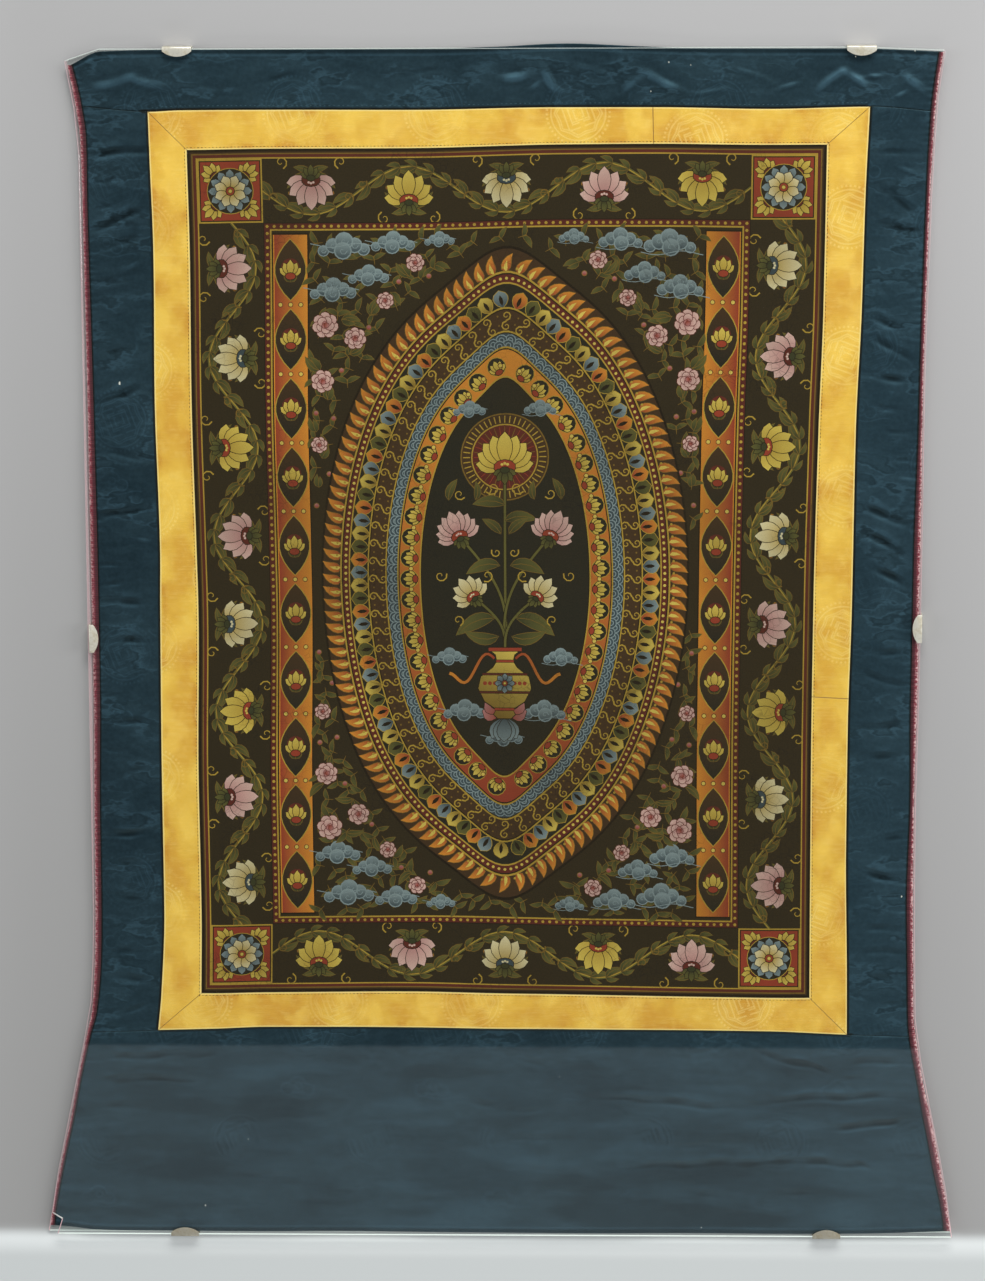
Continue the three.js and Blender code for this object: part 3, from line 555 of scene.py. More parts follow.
class Wire:
    """A socket that takes part in Python arithmetic."""

    def __init__(self, finish, socket):
        self.finish, self.socket = finish, socket

    def math(self, operation, *values):
        return self.finish.node("ShaderNodeMath", {"operation": operation}, dict(enumerate(values)))

    def __add__(self, other):
        return self.math("ADD", self, other)

    __radd__ = __add__

    def __sub__(self, other):
        return self.math("SUBTRACT", self, other)

    def __rsub__(self, other):
        return self.math("SUBTRACT", other, self)

    def __mul__(self, other):
        return self.math("MULTIPLY", self, other)

    __rmul__ = __mul__

    def __truediv__(self, other):
        return self.math("DIVIDE", self, other)

    def __pow__(self, other):
        return self.math("POWER", self, other)

    def __abs__(self):
        return self.math("ABSOLUTE", self)

    def least(self, other):
        return self.math("MINIMUM", self, other)

    def most(self, other):
        return self.math("MAXIMUM", self, other)

    def sine(self):
        return self.math("SINE", self)

    def wrapped(self, half):
        return self.math("WRAP", self, half, -half)

    def ease(self, low, high):
        """0 below low, 1 above high and smooth between."""
        settings = {"interpolation_type": "SMOOTHSTEP"}
        return self.finish.node("ShaderNodeMapRange", settings, {0: self, 1: low, 2: high, 3: 0.0, 4: 1.0})


class Finish:
    """One material. node() adds a node and gives back its output as a Wire."""

    def __init__(self, name):
        self.material = bpy.data.materials.new(name)
        self.material.use_nodes = True
        self.tree = self.material.node_tree
        self.tree.nodes.clear()

    def node(self, kind, settings=None, inputs=None, out=0):
        made = self.tree.nodes.new(kind)
        for key, value in (settings or {}).items():
            setattr(made, key, value)
        for key, value in (inputs or {}).items():
            if isinstance(value, Wire):
                self.tree.links.new(value.socket, made.inputs[key])
            else:
                made.inputs[key].default_value = value
        return Wire(self, made.outputs[out])

    def blend(self, share, first, second):
        return self.node("ShaderNodeMix", {"data_type": "RGBA"}, {0: share, 6: first, 7: second}, out=2)

    def noise(self, place, scale, detail=2.0, rough=0.5):
        inputs = {"Vector": place, "Scale": scale, "Detail": detail, "Roughness": rough}
        return self.node("ShaderNodeTexNoise", None, inputs)

    def parts(self, vector):
        split = self.node("ShaderNodeSeparateXYZ", None, {0: vector}).socket.node
        return [Wire(self, socket) for socket in split.outputs]

    def place(self):
        return self.node("ShaderNodeTexCoord", out="Object")

    def threads(self):
        """The piece's own map, in millimetres along the weave."""
        return self.node("ShaderNodeUVMap", {"uv_map": "mm"})

    def attribute(self, name, out="Fac"):
        return self.node("ShaderNodeAttribute", {"attribute_name": name}, out=out)

    def stretched(self, vector, scale, turn=0.0):
        """The same place, scaled and turned, so that a pattern on it runs long one way."""
        values = {0: vector, "Scale": scale, "Rotation": (0, 0, turn)}
        return self.node("ShaderNodeMapping", None, values)

    def bump(self, height, strength, distance=MM):
        values = {"Strength": strength, "Distance": distance, "Height": height}
        return self.node("ShaderNodeBump", None, values)

    def show(self, surface):
        output = self.tree.nodes.new("ShaderNodeOutputMaterial")
        self.tree.links.new(surface.socket, output.inputs["Surface"])
        return self.material

    def cloth(self, inputs):
        return self.show(self.node("ShaderNodeBsdfPrincipled", None, inputs))


def paint(red, green, blue):
    """A colour given as it looks on screen, 0 to 255, as the linear colour that shaders take."""
    linear = [((c / 255 + 0.055) / 1.055) ** 2.4 if c > 10 else c / 255 / 12.92 for c in (red, green, blue)]
    return (*linear, 1.0)


# %% [markdown]
# Both silks are damask: the pattern is the same thread, woven to lie the other way, so it shows only as
# a slight change of tone and gloss. Its motifs are a large roundel, with a dotted rim and a fret inside,
# and small clouds between the roundels. They are written as distances, in millimetres, so that the
# lines stay crisp at any size. Every motif is drawn once, in a cell that repeats over the cloth.

# %% Damask
CELL_X, CELL_Y = 104.0, 178.0
ROUNDEL = 23.0
LINE = 0.42


def band(value, middle, half=LINE, soft=0.35):
    """1 on a line of the given half width, fading over soft."""
    return 1 - abs(value - middle).ease(half, half + soft)


def roundel(x, y):
    reach = (x * x + y * y) ** 0.5
    turn = x.math("ARCTAN2", y, x)
    dots = band(reach, ROUNDEL, 0.7) * (turn * 44.0).sine().ease(-0.2, 0.3)
    ring = band(reach, ROUNDEL - 3.0)
    lobes = reach + 1.9 * abs((turn * 4.0).sine())
    petals = band(lobes, ROUNDEL - 5.4) + band(lobes, ROUNDEL - 7.0, 0.3)
    across = x * 0.94 + y * 0.34
    along = y * 0.94 - x * 0.34
    square = abs(across).most(abs(along))
    fret = band(square, 10.2) + band(square, 6.6) + band(square, 3.2)
    gate = abs(across).ease(1.2, 1.6)
    bars = band(abs(along), 5.0, 0.36) * (1 - square.ease(6.4, 6.8))
    inside = 1 - reach.ease(ROUNDEL - 8.6, ROUNDEL - 8.2)
    return (dots + ring + petals + inside * (fret * gate + bars)).least(1.0)


def puff(x, y, at_x, at_y, radius):
    off_x, off_y = x - at_x, y - at_y
    return (off_x * off_x + off_y * off_y) ** 0.5 - radius


def woven_cloud(x, y):
    shape = puff(x, y, -7.0, 0.0, 5.0).least(puff(x, y, 1.0, 3.2, 6.4)).least(puff(x, y, 9.0, -0.6, 4.4))
    curl = band(puff(x, y, 1.6, 2.6, 2.6), 0.0, 0.3)
    tail = band(y + 6.4 + 1.2 * (x * 0.24).sine(), 0.0, 0.36) * (1 - abs(x - 10.0).ease(12.0, 16.0))
    return (band(shape, 0.0) + curl + tail).least(1.0)


def staggered(x, y):
    """Where a point lies in its own cell, when every other row of cells is moved along by half a cell."""
    up = y.wrapped(CELL_Y / 4)
    row = (y - up) * (2 / CELL_Y)
    return (x + row * (CELL_X / 2)).wrapped(CELL_X / 2), up


def damask(finish, threads):
    """1 on the pattern's lines."""
    x, y, _ = finish.parts(threads)
    return (roundel(*staggered(x, y)) + woven_cloud(*staggered(x + 8.0, y + CELL_Y * 0.27))).least(1.0)


def weave(finish, threads, pitch):
    """A fine twill: ribs that slant across the threads."""
    x, y, _ = finish.parts(threads)
    ribs = ((x + y * 0.6) * (math.tau / pitch)).sine()
    return ribs * 0.5 + ((y - x * 0.2) * (math.tau / pitch / 1.3)).sine() * 0.5


# %% [markdown]
# The satin is a deep blue-green, nearly black where it dips and a lighter teal where a ridge catches the
# light. Its gloss does part of that by itself; the rest is painted light and shade in its colour: painted
# highlights on ridges and on slopes that face the head lamp, painted shade in troughs and on slopes that
# face away, fine crinkles with a painted lit and shaded side, long soft sweeps of painted light and shade
# over the skirt, a slightly lighter right side, a painted dark band and pale line along the hems, and a
# painted shadow along the seams. The damask and a cloudy depth are the satin's own.

# %% Dark blue satin
# The lit colour serves the painted highlights and the damask, the dark one the painted shade, and the seam
# colour is a painted shadow along the seams.
SATIN_DEEP, SATIN_MID, SATIN_LIT = paint(23, 38, 46), paint(38, 56, 65), paint(74, 106, 124)
SATIN_SHADED, SEAM_SHADE = paint(6, 13, 17), paint(22, 17, 8)


def blue_satin():
    finish = Finish("satin_blue")
    threads, place = finish.threads(), finish.place()
    worn = finish.noise(place, 16.0, 2.0).ease(0.4, 0.6)
    pattern = damask(finish, threads) * (0.35 + 0.65 * worn)
    cloudy = finish.noise(place, 9.0, 4.0, 0.6).ease(0.35, 0.68)
    mottle = finish.noise(place, 380.0, 3.0, 0.6).ease(0.36, 0.66)
    squeezed = finish.stretched(place, (0.45, 1.0, 1.0), 0.12)
    wrinkle = finish.noise(squeezed, 48.0, 2.0, 0.5)
    lobe = wrinkle.ease(0.42, 0.6)
    streak = finish.noise(squeezed, 230.0, 3.0, 0.6).ease(0.4, 0.66)
    side, low, _ = finish.parts(place)
    skirt = 1 - low.ease(-0.33, -0.29)
    crinkle = finish.noise(squeezed, 105.0, 3.0, 0.5)
    crushed = wrinkle.ease(0.44, 0.6) * (1 - 0.88 * skirt)
    crest = (1 - abs(crinkle - 0.5).ease(0.0, 0.05)) * crushed
    trough = (1 - abs(crinkle - 0.57).ease(0.0, 0.055)) * crushed
    lit = finish.attribute("lit")
    fold = finish.attribute("fold")
    # Painted highlight and painted shade: slopes that face the head lamp, the banks and troughs of the
    # creases and the crests and troughs of the fine crinkles are lighter or darker in colour.
    bright = lit.ease(0.03, 0.5) * 0.4 + fold.ease(0.12, 1.1) * 0.32 + crest * 0.18
    dim = (0 - lit).ease(0.03, 0.5) * 0.6 + (0 - fold).ease(0.25, 1.3) * 0.75 + trough * 0.4
    drawn = finish.stretched(place, (0.2, 1.0, 1.0), 0.03)
    sweep = finish.noise(drawn, 44.0, 2.0, 0.5)
    # Painted light and shade in long soft sweeps over the skirt.
    bright = bright + skirt * sweep.ease(0.54, 0.7) * 0.14
    dim = dim + skirt * (1 - sweep.ease(0.36, 0.48)) * 0.42
    base = finish.blend(0.3 * cloudy + 0.4 * lobe + 0.3 * streak, SATIN_DEEP, SATIN_MID)
    # Painted highlight: the satin on the right side is a little lighter.
    bright = bright + side.ease(0.2, 0.3) * 0.07
    base = finish.blend(mottle * 0.06 + pattern * 0.12 + bright, base, SATIN_LIT)
    base = finish.blend(dim.least(0.95), base, SATIN_SHADED)
    # Painted shade in a dark band along each hem, and a painted highlight on a pale line just inside it, as
    # a rolled edge would show them.
    edge = finish.attribute("edge")
    base = finish.blend((1 - edge.ease(2.0, 3.4)) * 0.6, base, SATIN_SHADED)
    base = finish.blend(band(edge, 4.4, 0.4, 0.9) * 0.16, base, SATIN_LIT)
    # Painted shadow: a brown-black line along every seam.
    base = finish.blend((1 - finish.attribute("seam").ease(0.9, 2.0)) * 0.94, base, SEAM_SHADE)
    fine = weave(finish, threads, 0.8) * 0.12 + mottle * 0.12
    folds = finish.bump(wrinkle + crinkle * 0.35, 0.6, 1.0 * MM)
    both = {"Strength": 0.25, "Distance": 0.4 * MM, "Height": fine, "Normal": folds}
    return finish.cloth(
        {
            "Base Color": base,
            "Roughness": 0.44 - 0.08 * pattern + 0.1 * (cloudy - 0.5),
            "Normal": finish.node("ShaderNodeBump", None, both),
            "Sheen Weight": 0.05,
            "Sheen Roughness": 0.45,
            "Specular IOR Level": 0.32,
            "Specular Tint": (0.45, 0.85, 1.0, 1.0),
        }
    )


# %% [markdown]
# The yellow silk is lighter in weight and brighter. Its soft folds are painted lighter on slopes that face
# the head lamp and darker on those that face away and near the inner edge, and the bottom strip is painted
# a little darker, as shade. The folded edges, where the strip is turned under, get a painted pale rim where
# they would catch the light and a painted dark line of shadow at the very edge, and the mitres and joins
# gather a little shade.

# %% Yellow silk
YELLOW, YELLOW_DEEP, YELLOW_LIT = paint(234, 188, 72), paint(212, 152, 48), paint(254, 214, 96)
YELLOW_PALE = paint(255, 232, 150)
MITRE_SHADE, TURNED_EDGE_SHADOW = paint(120, 78, 32), paint(62, 42, 8)


def yellow_silk():
    finish = Finish("silk_yellow")
    threads, place = finish.threads(), finish.place()
    worn = finish.noise(place, 14.0, 2.0).ease(0.42, 0.6)
    pattern = damask(finish, threads) * (0.3 + 0.7 * worn)
    cloudy = finish.noise(place, 20.0, 3.0, 0.55).ease(0.42, 0.72)
    mottle = finish.noise(place, 260.0, 3.0, 0.6)
    slub = finish.noise(finish.stretched(place, (0.08, 1.0, 1.0)), 900.0, 2.0)
    squeezed = finish.stretched(place, (1.0, 0.8, 1.0), 0.7)
    wrinkle = finish.noise(squeezed, 48.0, 2.0, 0.45)
    edge, seam = finish.attribute("edge"), finish.attribute("seam")
    near = 1 - edge.ease(2.0, 7.0)
    lit = finish.attribute("lit")
    _, low, _ = finish.parts(place)
    # The cloudy tone is the silk's own; the bottom strip is also painted a little darker, as shade.
    base = finish.blend(cloudy * 0.6 + (1 - low.ease(-0.3, -0.2)) * 0.2, YELLOW, YELLOW_DEEP)
    # Painted shade and highlight of the soft folds: darker near the inner edge and on slopes that face away
    # from the head lamp, lighter on slopes that face it.
    base = finish.blend(wrinkle.ease(0.5, 0.66) * (0.5 + 0.45 * near), base, YELLOW_DEEP)
    base = finish.blend((0 - lit).ease(0.02, 0.4) * 0.6, base, YELLOW_DEEP)
    base = finish.blend(wrinkle.ease(0.5, 0.34) * 0.45 + lit.ease(0.02, 0.4) * 0.5, base, YELLOW_LIT)
    base = finish.blend(pattern * 0.3, base, YELLOW_PALE)
    base = finish.blend((slub - 0.45) * 0.4 + (mottle - 0.5) * 0.4, base, YELLOW_PALE)
    # Painted highlight on the pale rim of each folded edge, then painted shadow on the dark line at its very
    # edge.
    base = finish.blend((1 - edge.ease(1.0, 1.6)) * 0.75, base, YELLOW_PALE)
    base = finish.blend((1 - edge.ease(0.2, 0.5)) * 0.95, base, TURNED_EDGE_SHADOW)
    base = finish.blend((1 - seam.ease(0.12, 0.55)) * 0.75, base, MITRE_SHADE)
    fine = weave(finish, threads, 0.7) * 0.1 + slub * 0.35
    folds = finish.bump(wrinkle, 0.7, 1.6 * MM)
    both = {"Strength": 0.28, "Distance": 0.4 * MM, "Height": fine, "Normal": folds}
    return finish.cloth(
        {
            "Base Color": base,
            "Roughness": 0.48 - 0.14 * pattern + 0.1 * (cloudy - 0.5),
            "Normal": finish.node("ShaderNodeBump", None, both),
            "Sheen Weight": 0.15,
            "Sheen Roughness": 0.4,
            "Specular IOR Level": 0.45,
        }
    )


SATIN, SILK = blue_satin(), yellow_silk()
print("silks:", len(SATIN.node_tree.nodes), "and", len(SILK.node_tree.nodes), "nodes")

# %% [markdown]
# Cloth has two faces and an edge, and on sewn work the edge tells the story. A folded edge is rounded
# and lies on top. A cut edge runs on beneath its neighbour as a seam allowance. The builder below lays a
# grid of points over a patch, bunches rows near the edges, and gives each side one of those two ends.

# %% Make a piece of cloth
NEAR_EDGE = np.array((0.0, 0.12, 0.3, 0.6, 1.0, 1.5))  # mm
FOLD_RADIUS = 0.75
BEYOND = (0.35, 0.9)  # mm past a seam, before the end of the allowance
ALLOWANCE_HALF = 0.14
SINK_FROM, SINK_RUN = 1.0, 1.3  # mm before a seam, where its allowance starts to drop, and over how far
RIM_SHARE = 0.12  # of the thickness, left at the very edge of a fold
FAR = 9.0  # mm; the marks of edges and seams count no further
PANEL_SEAM, PANEL_MIDDLE = 266, 5  # mm; further out than this, a seam joins two panels
PANEL_SEAM_QUIET = 1.3  # mm added to its distance, so that it hardly shows
SLOPE_STEP = 0.8
UPRIGHT, LEVEL = ("left", "right"), ("foot", "head")


def spread(length, step):
    """Shares from 0 to 1 along a length, closer together near both ends."""
    near = NEAR_EDGE / length
    count = max(2, round(length / step))
    middle = np.linspace(near[-1], 1 - near[-1], count + 1)[1:-1]
    return np.concatenate((near, middle, 1 - near[::-1]))


def smooth(share):
    share = np.clip(share, 0, 1)
    return share * share * (3 - 2 * share)


def run_on(grid, reach, at_end):
    """Adds lines of points past one side of a grid, for a seam allowance."""
    rim, inner = (grid[:, -1], grid[:, -2]) if at_end else (grid[:, 0], grid[:, 1])
    way = rim - inner
    way = way / np.maximum(np.linalg.norm(way, axis=0), 1e-9)
    extra = [rim + way * far for far in (*BEYOND, reach)]
    return np.concatenate((grid, np.stack(extra, 1)) if at_end else (np.stack(extra[::-1], 1), grid), 1)


def measure(place):
    t = np.linspace(0, 1, 40)
    across = place(t, 0 * t + 0.5)
    along = place(0 * t + 0.5, t)
    return [float(np.sum(np.linalg.norm(np.diff(line, axis=1), axis=0))) for line in (across, along)]


def closed_sheet(name, top, bottom, values, thread_map):
    """A closed mesh from two grids of points, with point values and a thread map in millimetres."""
    rows, columns = top.shape[:2]
    points = np.concatenate((top.reshape(-1, 3), bottom.reshape(-1, 3)))
    index = np.arange(rows * columns).reshape(rows, columns)
    a, b = index[:-1, :-1].ravel(), index[:-1, 1:].ravel()
    c, d = index[1:, 1:].ravel(), index[1:, :-1].ravel()
    faces = [np.stack((a, b, c, d), 1), np.stack((d, c, b, a), 1) + rows * columns]
    rim = np.concatenate((index[0, :-1], index[:-1, -1], index[-1, :0:-1], index[:0:-1, 0]))
    after = np.roll(rim, -1)
    faces.append(np.stack((after, rim, rim + rows * columns, after + rows * columns), 1))
    faces = np.concatenate(faces)
    mesh = bpy.data.meshes.new(name)
    mesh.from_pydata(points.tolist(), [], faces.tolist())
    threads = mesh.uv_layers.new(name="mm")
    both = np.concatenate((thread_map.reshape(-1, 2), thread_map.reshape(-1, 2)))
    threads.data.foreach_set("uv", both[faces.ravel()].astype(np.float32).ravel())
    for key, value in values.items():
        layer = mesh.attributes.new(key, "FLOAT", "POINT")
        layer.data.foreach_set("value", np.concatenate((value.ravel(), value.ravel())).astype(np.float32))
    mesh.shade_smooth()
    return stand(name, mesh)


def to_frame(x, up, height):
    """Places in mm from the scroll's middle line, foot and middle level, in the frame's metres."""
    return np.stack((x * MM + SHIFT_X, up * MM + SHIFT_Y, CLOTH_Z + height * MM), -1)


def make_cloth(name, place, step, level, half, allowances, rims, origin, turned=False):
    """allowances gives each side that runs on: its reach and how far it drops, both in mm. The sides in
    rims are open edges; all others are seams, where thread and shade make a dark line."""
    wide, long = measure(place)
    u, v = spread(wide, step[0]), spread(long, step[1])
    grid_u, grid_v = np.meshgrid(u, v, indexing="ij")
    flat = place(grid_u.ravel(), grid_v.ravel())
    grid = np.stack([flat[k].reshape(grid_u.shape) for k in (0, 1)])
    gaps = {"left": grid_u * wide, "right": (1 - grid_u) * wide}
    gaps |= {"foot": grid_v * long, "head": (1 - grid_v) * long}
    order = {"left": (0, False), "right": (0, True), "foot": (1, False), "head": (1, True)}
    for side, (reach, _) in allowances.items():
        axis, at_end = order[side]
        turn_grid = grid if axis == 0 else grid.transpose(0, 2, 1)
        turn_grid = run_on(turn_grid, reach, at_end)
        grid = turn_grid if axis == 0 else turn_grid.transpose(0, 2, 1)
        beyond = -np.array((*BEYOND, reach))
        for key, gap in gaps.items():
            lines = gap if axis == 0 else gap.T
            if key == side:
                extra = np.repeat(beyond[:, None], lines.shape[1], 1)
            else:
                extra = np.repeat(lines[-1 if at_end else 0][None], len(beyond), 0)
            lines = np.concatenate((lines, extra) if at_end else (extra[::-1], lines))
            gaps[key] = lines if axis == 0 else lines.T
    x, up = grid
    height = relief(x, up)
    middle = np.full(x.shape, float(level))
    thick = np.full(x.shape, float(half))
    for side, gap in gaps.items():
        if side in allowances:
            sunk = smooth((SINK_FROM - gap) / SINK_RUN)
            middle = middle - sunk * allowances[side][1]
            thick = lerp(thick, np.minimum(thick, ALLOWANCE_HALF), sunk)
        else:
            near = np.clip(1 - gap / FOLD_RADIUS, 0, 1)
            thick = thick * (RIM_SHARE + (1 - RIM_SHARE) * np.sqrt(1 - near**2))
    far = np.full(x.shape, FAR)
    quiet = PANEL_SEAM_QUIET * (np.abs(x - PANEL_MIDDLE) > PANEL_SEAM)
    edge = np.minimum.reduce([gaps[side] for side in gaps if side in rims] + [far])
    seams = [gap + quiet * (side in LEVEL) for side, gap in gaps.items() if side not in rims]
    seam = np.minimum.reduce([*seams, far])
    # The distances to rims and seams, the slope towards the head and the crease height are kept on the
    # points; the materials paint highlights, shade and shadow from them.
    slope = (relief(x, up - SLOPE_STEP) - relief(x, up + SLOPE_STEP)) / (2 * SLOPE_STEP)
    threads = np.stack((up - origin[1], x - origin[0]) if turned else (x - origin[0], up - origin[1]), -1)
    values = {"edge": np.clip(edge, 0, FAR), "seam": np.clip(seam, 0, FAR), "lit": slope}
    values["fold"] = creases(x, up)
    top = to_frame(x, up, height + middle + thick).transpose(1, 0, 2)
    bottom = to_frame(x, up, height + middle - thick).transpose(1, 0, 2)
    values = {key: value.T for key, value in values.items()}
    piece = closed_sheet(name, top, bottom, values, threads.transpose(1, 0, 2))
    plan = np.abs(np.sum((x[1:, 1:] - x[:-1, :-1]) * (up[:-1, 1:] - up[1:, :-1])
                         - (x[:-1, 1:] - x[1:, :-1]) * (up[1:, 1:] - up[:-1, :-1]))) / 2
    size = float(np.ptp(x)), float(np.ptp(up))
    print(f"{name}: {round(size[0])} x {round(size[1])} mm, {len(piece.data.polygons)} faces")
    return piece, (size[0] * MM, size[1] * MM), float(plan) * MM * MM


def finish_cloth(made, material, node):
    piece, size, area = made
    piece.data.materials.append(material)
    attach(piece, "root")
    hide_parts(node)
    min(area, size[0] * size[1])


# %% [markdown]
# Four panels of satin: two narrow ones at the sides, one across the head and a wide one below that
# flares like a skirt. Each runs on for a few millimetres beneath the border and its neighbours, which
# keeps the seams dark and closed, as they are on the real thing.

# %% Satin panels
SATIN_LEVEL, SATIN_HALF = -0.05, 0.35
UNDER_BORDER = (3.0, 0.42)
UNDER_PANELS = (3.0, 0.72)
UNDER_BINDING = (1.4, 0.1)

panels = {
    "surround_left": (
        patch(
            upright(satin_left, SEAM["foot_left"][1], SEAM["head_left"][1]),
            upright(left_outer, OUTER["foot_left"][1], OUTER["head_left"][1]),
            level(bottom_outer, SEAM["foot_left"][0], OUTER["foot_left"][0]),
            level(top_outer, SEAM["head_left"][0], OUTER["head_left"][0]),
        ),
        {"left": UNDER_BINDING, "right": UNDER_BORDER},
        (),
        (-282.0, 640.0),
    ),
    "surround_right": (
        patch(
            upright(right_outer, OUTER["foot_right"][1], OUTER["head_right"][1]),
            upright(satin_right, SEAM["foot_right"][1], SEAM["head_right"][1]),
            level(bottom_outer, OUTER["foot_right"][0], SEAM["foot_right"][0]),
            level(top_outer, OUTER["head_right"][0], SEAM["head_right"][0]),
        ),
        {"left": UNDER_BORDER, "right": UNDER_BINDING},
        (),
        (276.0, 696.0),
    ),
    "surround_top": (
        patch(
            upright(satin_left, SEAM["head_left"][1], HEAD_HEM_ENDS[0]),
            upright(satin_right, SEAM["head_right"][1], HEAD_HEM_ENDS[1]),
            level(top_outer, SEAM["head_left"][0], SEAM["head_right"][0]),
            hem(head_hem, HEAD_HEM_ENDS),
        ),
        {"left": UNDER_BINDING, "right": UNDER_BINDING, "foot": UNDER_PANELS},
        ("head",),
        (163.0, 872.0),
    ),
    "surround_bottom": (
        patch(
            upright(satin_left, FOOT_HEM_ENDS[0], SEAM["foot_left"][1]),
            upright(satin_right, FOOT_HEM_ENDS[1], SEAM["foot_right"][1]),
            hem(foot_hem, FOOT_HEM_ENDS),
            level(bottom_outer, SEAM["foot_left"][0], SEAM["foot_right"][0]),
        ),
        {"left": UNDER_BINDING, "right": UNDER_BINDING, "head": UNDER_PANELS},
        ("foot",),
        (-96.0, 78.0),
    ),
}
SATIN_STEP = {"surround_bottom": (2.8, 1.2), "surround_top": (1.5, 1.1)}  # mm between points
SIDE_STEP = (2.0, 1.1)
for name, (place, allowances, rims, origin) in panels.items():
    step = SATIN_STEP.get(name, SIDE_STEP)
    made = make_cloth(name + "_satin", place, step, SATIN_LEVEL, SATIN_HALF, allowances, rims, origin)
    finish_cloth(made, SATIN, name)

# %% [markdown]
# Six strips of yellow silk make the border. Every long edge is turned under, so it is rounded and stands
# a little above the satin and the picture. The corners are mitred, and two of the strips are pieced
# from two lengths.

# %% Yellow border
SILK_LEVEL, SILK_HALF = 0.36, 0.28
SILK_STEP = (1.8, 1.8)


def upright_strip(curves, foot, head):
    """An upright strip between two ends, each a point on the outer and one on the inner curve."""
    edges = [upright(curves[k], foot[k][1], head[k][1]) for k in (0, 1)]
    left, right = edges if foot[0][0] < foot[1][0] else edges[::-1]
    one = np.ones(1)
    foot_line = straight(left(0 * one)[:, 0], right(0 * one)[:, 0])
    return patch(left, right, foot_line, straight(left(one)[:, 0], right(one)[:, 0]))


def level_strip(curves, left, right):
    """A level strip between two such ends."""
    edges = [level(curves[k], left[k][0], right[k][0]) for k in (0, 1)]
    foot, head = edges if left[0][1] < left[1][1] else edges[::-1]
    one = np.ones(1)
    left_line = straight(foot(0 * one)[:, 0], head(0 * one)[:, 0])
    return patch(left_line, straight(foot(one)[:, 0], head(one)[:, 0]), foot, head)


def mitre(name):
    return OUTER[name], INNER[name]


left_curves, right_curves = (left_outer, left_inner), (right_outer, right_inner)
foot_curves, head_curves = (bottom_outer, bottom_inner), (top_outer, top_inner)
right_join = [(float(curve(up)), up) for curve, up in zip(right_curves, RIGHT_JOIN_UP)]
head_join = [(x, float(curve(x))) for curve, x in zip(head_curves, TOP_JOIN_X)]
strips = {
    "border_left": (upright_strip, left_curves, mitre("foot_left"), mitre("head_left"), (-262, 470)),
    "border_right_lower": (upright_strip, right_curves, mitre("foot_right"), right_join, (246, 260)),
    "border_right_upper": (upright_strip, right_curves, right_join, mitre("head_right"), (259, 792)),
    "border_bottom": (level_strip, foot_curves, mitre("foot_left"), mitre("foot_right"), (-20, 190)),
    "border_top_left": (level_strip, head_curves, mitre("head_left"), head_join, (-44, 868)),
    "border_top_right": (level_strip, head_curves, head_join, mitre("head_right"), (146, 848)),
}
for name, (strip, curves, start, end, origin) in strips.items():
    turned = strip is upright_strip
    place, rims = strip(curves, start, end), UPRIGHT if turned else LEVEL
    made = make_cloth(name + "_silk", place, SILK_STEP, SILK_LEVEL, SILK_HALF, {}, rims, origin, turned)
    finish_cloth(made, SILK, name)

# %% [markdown]
# A narrow red tape binds both sides. It's folded around the cut edge of the satin, so its section is a
# C that holds the satin between two flaps. The tape is ribbed across, and sewing pulls it in a little at
# every few ribs.

# %% Red binding
TAPE_RIB = 1.7  # mm from rib to rib
TAPE_STEP = 0.5
TAPE_FLAP = 0.42
TAPE_AROUND = 9.0  # mm around the section, for its thread map
TAPE_END = 0.3  # mm short of the solid tape at either end


def red_tape():
    finish = Finish("cotton_red")
    place = finish.place()
    side, _, _ = finish.parts(place)
    rib, across = finish.attribute("rise"), finish.attribute("across")
    fleck = finish.noise(place, 620.0, 2.0, 0.6)
    fade = finish.noise(place, 30.0, 3.0, 0.6)
    # Painted highlight on the crest of each rib.
    base = finish.blend(rib.ease(0.2, 0.9), paint(110, 34, 48), paint(150, 56, 72))
    base = finish.blend(fade.ease(0.4, 0.7) * 0.4, base, paint(108, 50, 58))
    # Painted shade on the inner side of the tape.
    base = finish.blend((1 - across.ease(0.2, 0.75)) * 0.8, base, paint(44, 16, 22))
    # Pale flecks, partly wear and partly painted highlight: they show on the outer half and more on the
    # right side; a painted highlight also runs along the outer rim.
    worn = fleck.ease(0.46, 0.58) * across.ease(0.45, 0.8) * (0.45 + 0.4 * side.ease(-0.1, 0.1))
    base = finish.blend((worn + 0.4 * across.ease(0.78, 0.97)).least(1.0), base, paint(226, 186, 186))
    return finish.cloth({"Base Color": base, "Roughness": 0.8, "Normal": finish.bump(fleck, 0.35, 0.3 * MM)})


TAPE = red_tape()


